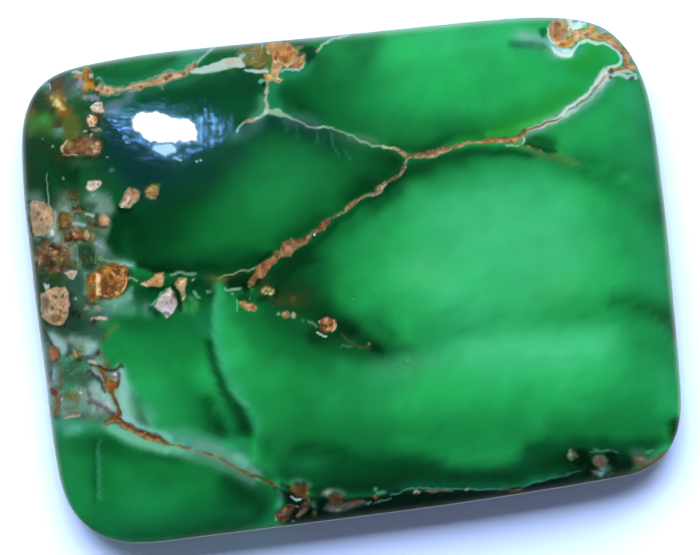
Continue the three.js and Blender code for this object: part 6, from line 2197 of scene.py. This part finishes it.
glow = np.zeros((LX.size, 3))
LAMP_PAINT = {"blue": (1.7, 4.3, 10.5), "pale": (9.0, 14.0, 20.0), "white": (36.0, 38.0, 40.0)}
lx, ly = LX.ravel(), LY.ravel()
fx = lx + 1.1 * noise(lx, ly, 5, 201) + 0.9 * noise(lx, ly, 2.4, 202)
fy = ly + 1.1 * noise(lx, ly, 5, 203) + 0.9 * noise(lx, ly, 2.4, 204)
across, along = noise(lx, ly * 3.6, 9.0, 205), noise(lx * 3.6, ly, 9.0, 206)
right = step(150, 196, lx)
scratches = across * (1 - right) + along * right
for (kind, strength, feather), rows in rows_of(LAMP, 3):
    if len(rows) == 1:
        rows = np.vstack([rows, rows + [0.01, 0, 0]])
    bend = 1.0 if float(feather) > 3 else 0.35
    d, w, _ = line_field(lx + (fx - lx) * bend, ly + (fy - ly) * bend, smooth_line(rows) if len(rows) > 2 else rows)
    alpha = float(strength) * np.exp(-((np.maximum(d - w[:, 0], 0) / float(feather)) ** 2))
    if kind == "blue":
        if float(feather) > 6:
            alpha = alpha * np.clip(0.55 + 1.5 * scratches + 0.7 * noise(lx, ly, 2.6, 207), 0.12, 3.0)
        else:
            alpha = alpha * np.clip(0.75 + 0.9 * noise(lx, ly, 4.0, 208) + 0.5 * noise(lx, ly, 2.2, 209), 0.15, 2.0)
    glow = np.maximum(glow, alpha[:, None] * np.array(LAMP_PAINT[kind]))
for kind, strength, feather, text in (("white", 1.0, 2.0, CORE), ("blue", 1.4, 4.0, CORE), ("pale", 1.0, 1.0, PATCH), ("blue", 1.0, 3.0, PATCH)):
    d = outline_field(fx, fy, pairs(text))
    alpha = strength * np.exp(-((np.maximum(d, 0) / feather) ** 2))
    glow = np.maximum(glow, alpha[:, None] * np.array(LAMP_PAINT[kind]))
edge_in = np.minimum.reduce([LX - 92, 243 - LX, LY - 94, 173 - LY]).ravel()
glow *= np.clip(edge_in / 8, 0, 1)[:, None]

index = np.arange(LX.size).reshape(lamp_rows, lamp_cols)
screen_mesh = bpy.data.meshes.new("lamp_screen")
screen_mesh.from_pydata((lamp_points * 1e-3).tolist(), [],
                        np.stack([index[:-1, :-1], index[:-1, 1:], index[1:, 1:], index[1:, :-1]], -1).reshape(-1, 4).tolist())
screen_mesh.update()
glow_layer = screen_mesh.attributes.new("glow", "FLOAT_COLOR", "POINT")
glow_layer.data.foreach_set("color", np.concatenate([glow, np.ones((LX.size, 1))], 1).astype(np.float32).ravel())
screen = bpy.data.objects.new("lamp_screen", screen_mesh)
bpy.context.scene.collection.objects.link(screen)
screen_mat = bpy.data.materials.new("lamp_screen")
screen_mat.use_nodes = True
st = screen_mat.node_tree
st.nodes.clear()
glow_node = st.nodes.new("ShaderNodeAttribute")
glow_node.attribute_name = "glow"
screen_emission = st.nodes.new("ShaderNodeEmission")
st.links.new(glow_node.outputs["Color"], screen_emission.inputs[0])
st.links.new(screen_emission.outputs[0], st.nodes.new("ShaderNodeOutputMaterial").inputs[0])
screen_mesh.materials.append(screen_mat)
only_seen(screen, glossy=True)

lit = {"stone": stone, "floor": floor}
for name, what, direction, distance, size, strength, colour in SOFT:
    d = np.array(direction, dtype=float)
    d /= np.linalg.norm(d)
    ob = lamp(name, d * distance, np.array([0.0, 0.0, 2.0]), size, strength, colour, False)
    receivers = bpy.data.collections.new("lit_by_" + name)
    receivers.objects.link(lit[what])
    ob.light_linking.receiver_collection = receivers

bpy.context.scene.view_settings.view_transform = "Standard"
bpy.context.scene.view_settings.look = "None"
bpy.context.scene.view_settings.exposure = 0.0
bpy.context.scene.view_settings.gamma = 1.0

tris = sum(len(p.vertices) - 2 for p in mesh.polygons)
print("stone triangles", tris, "points", len(mesh.vertices))
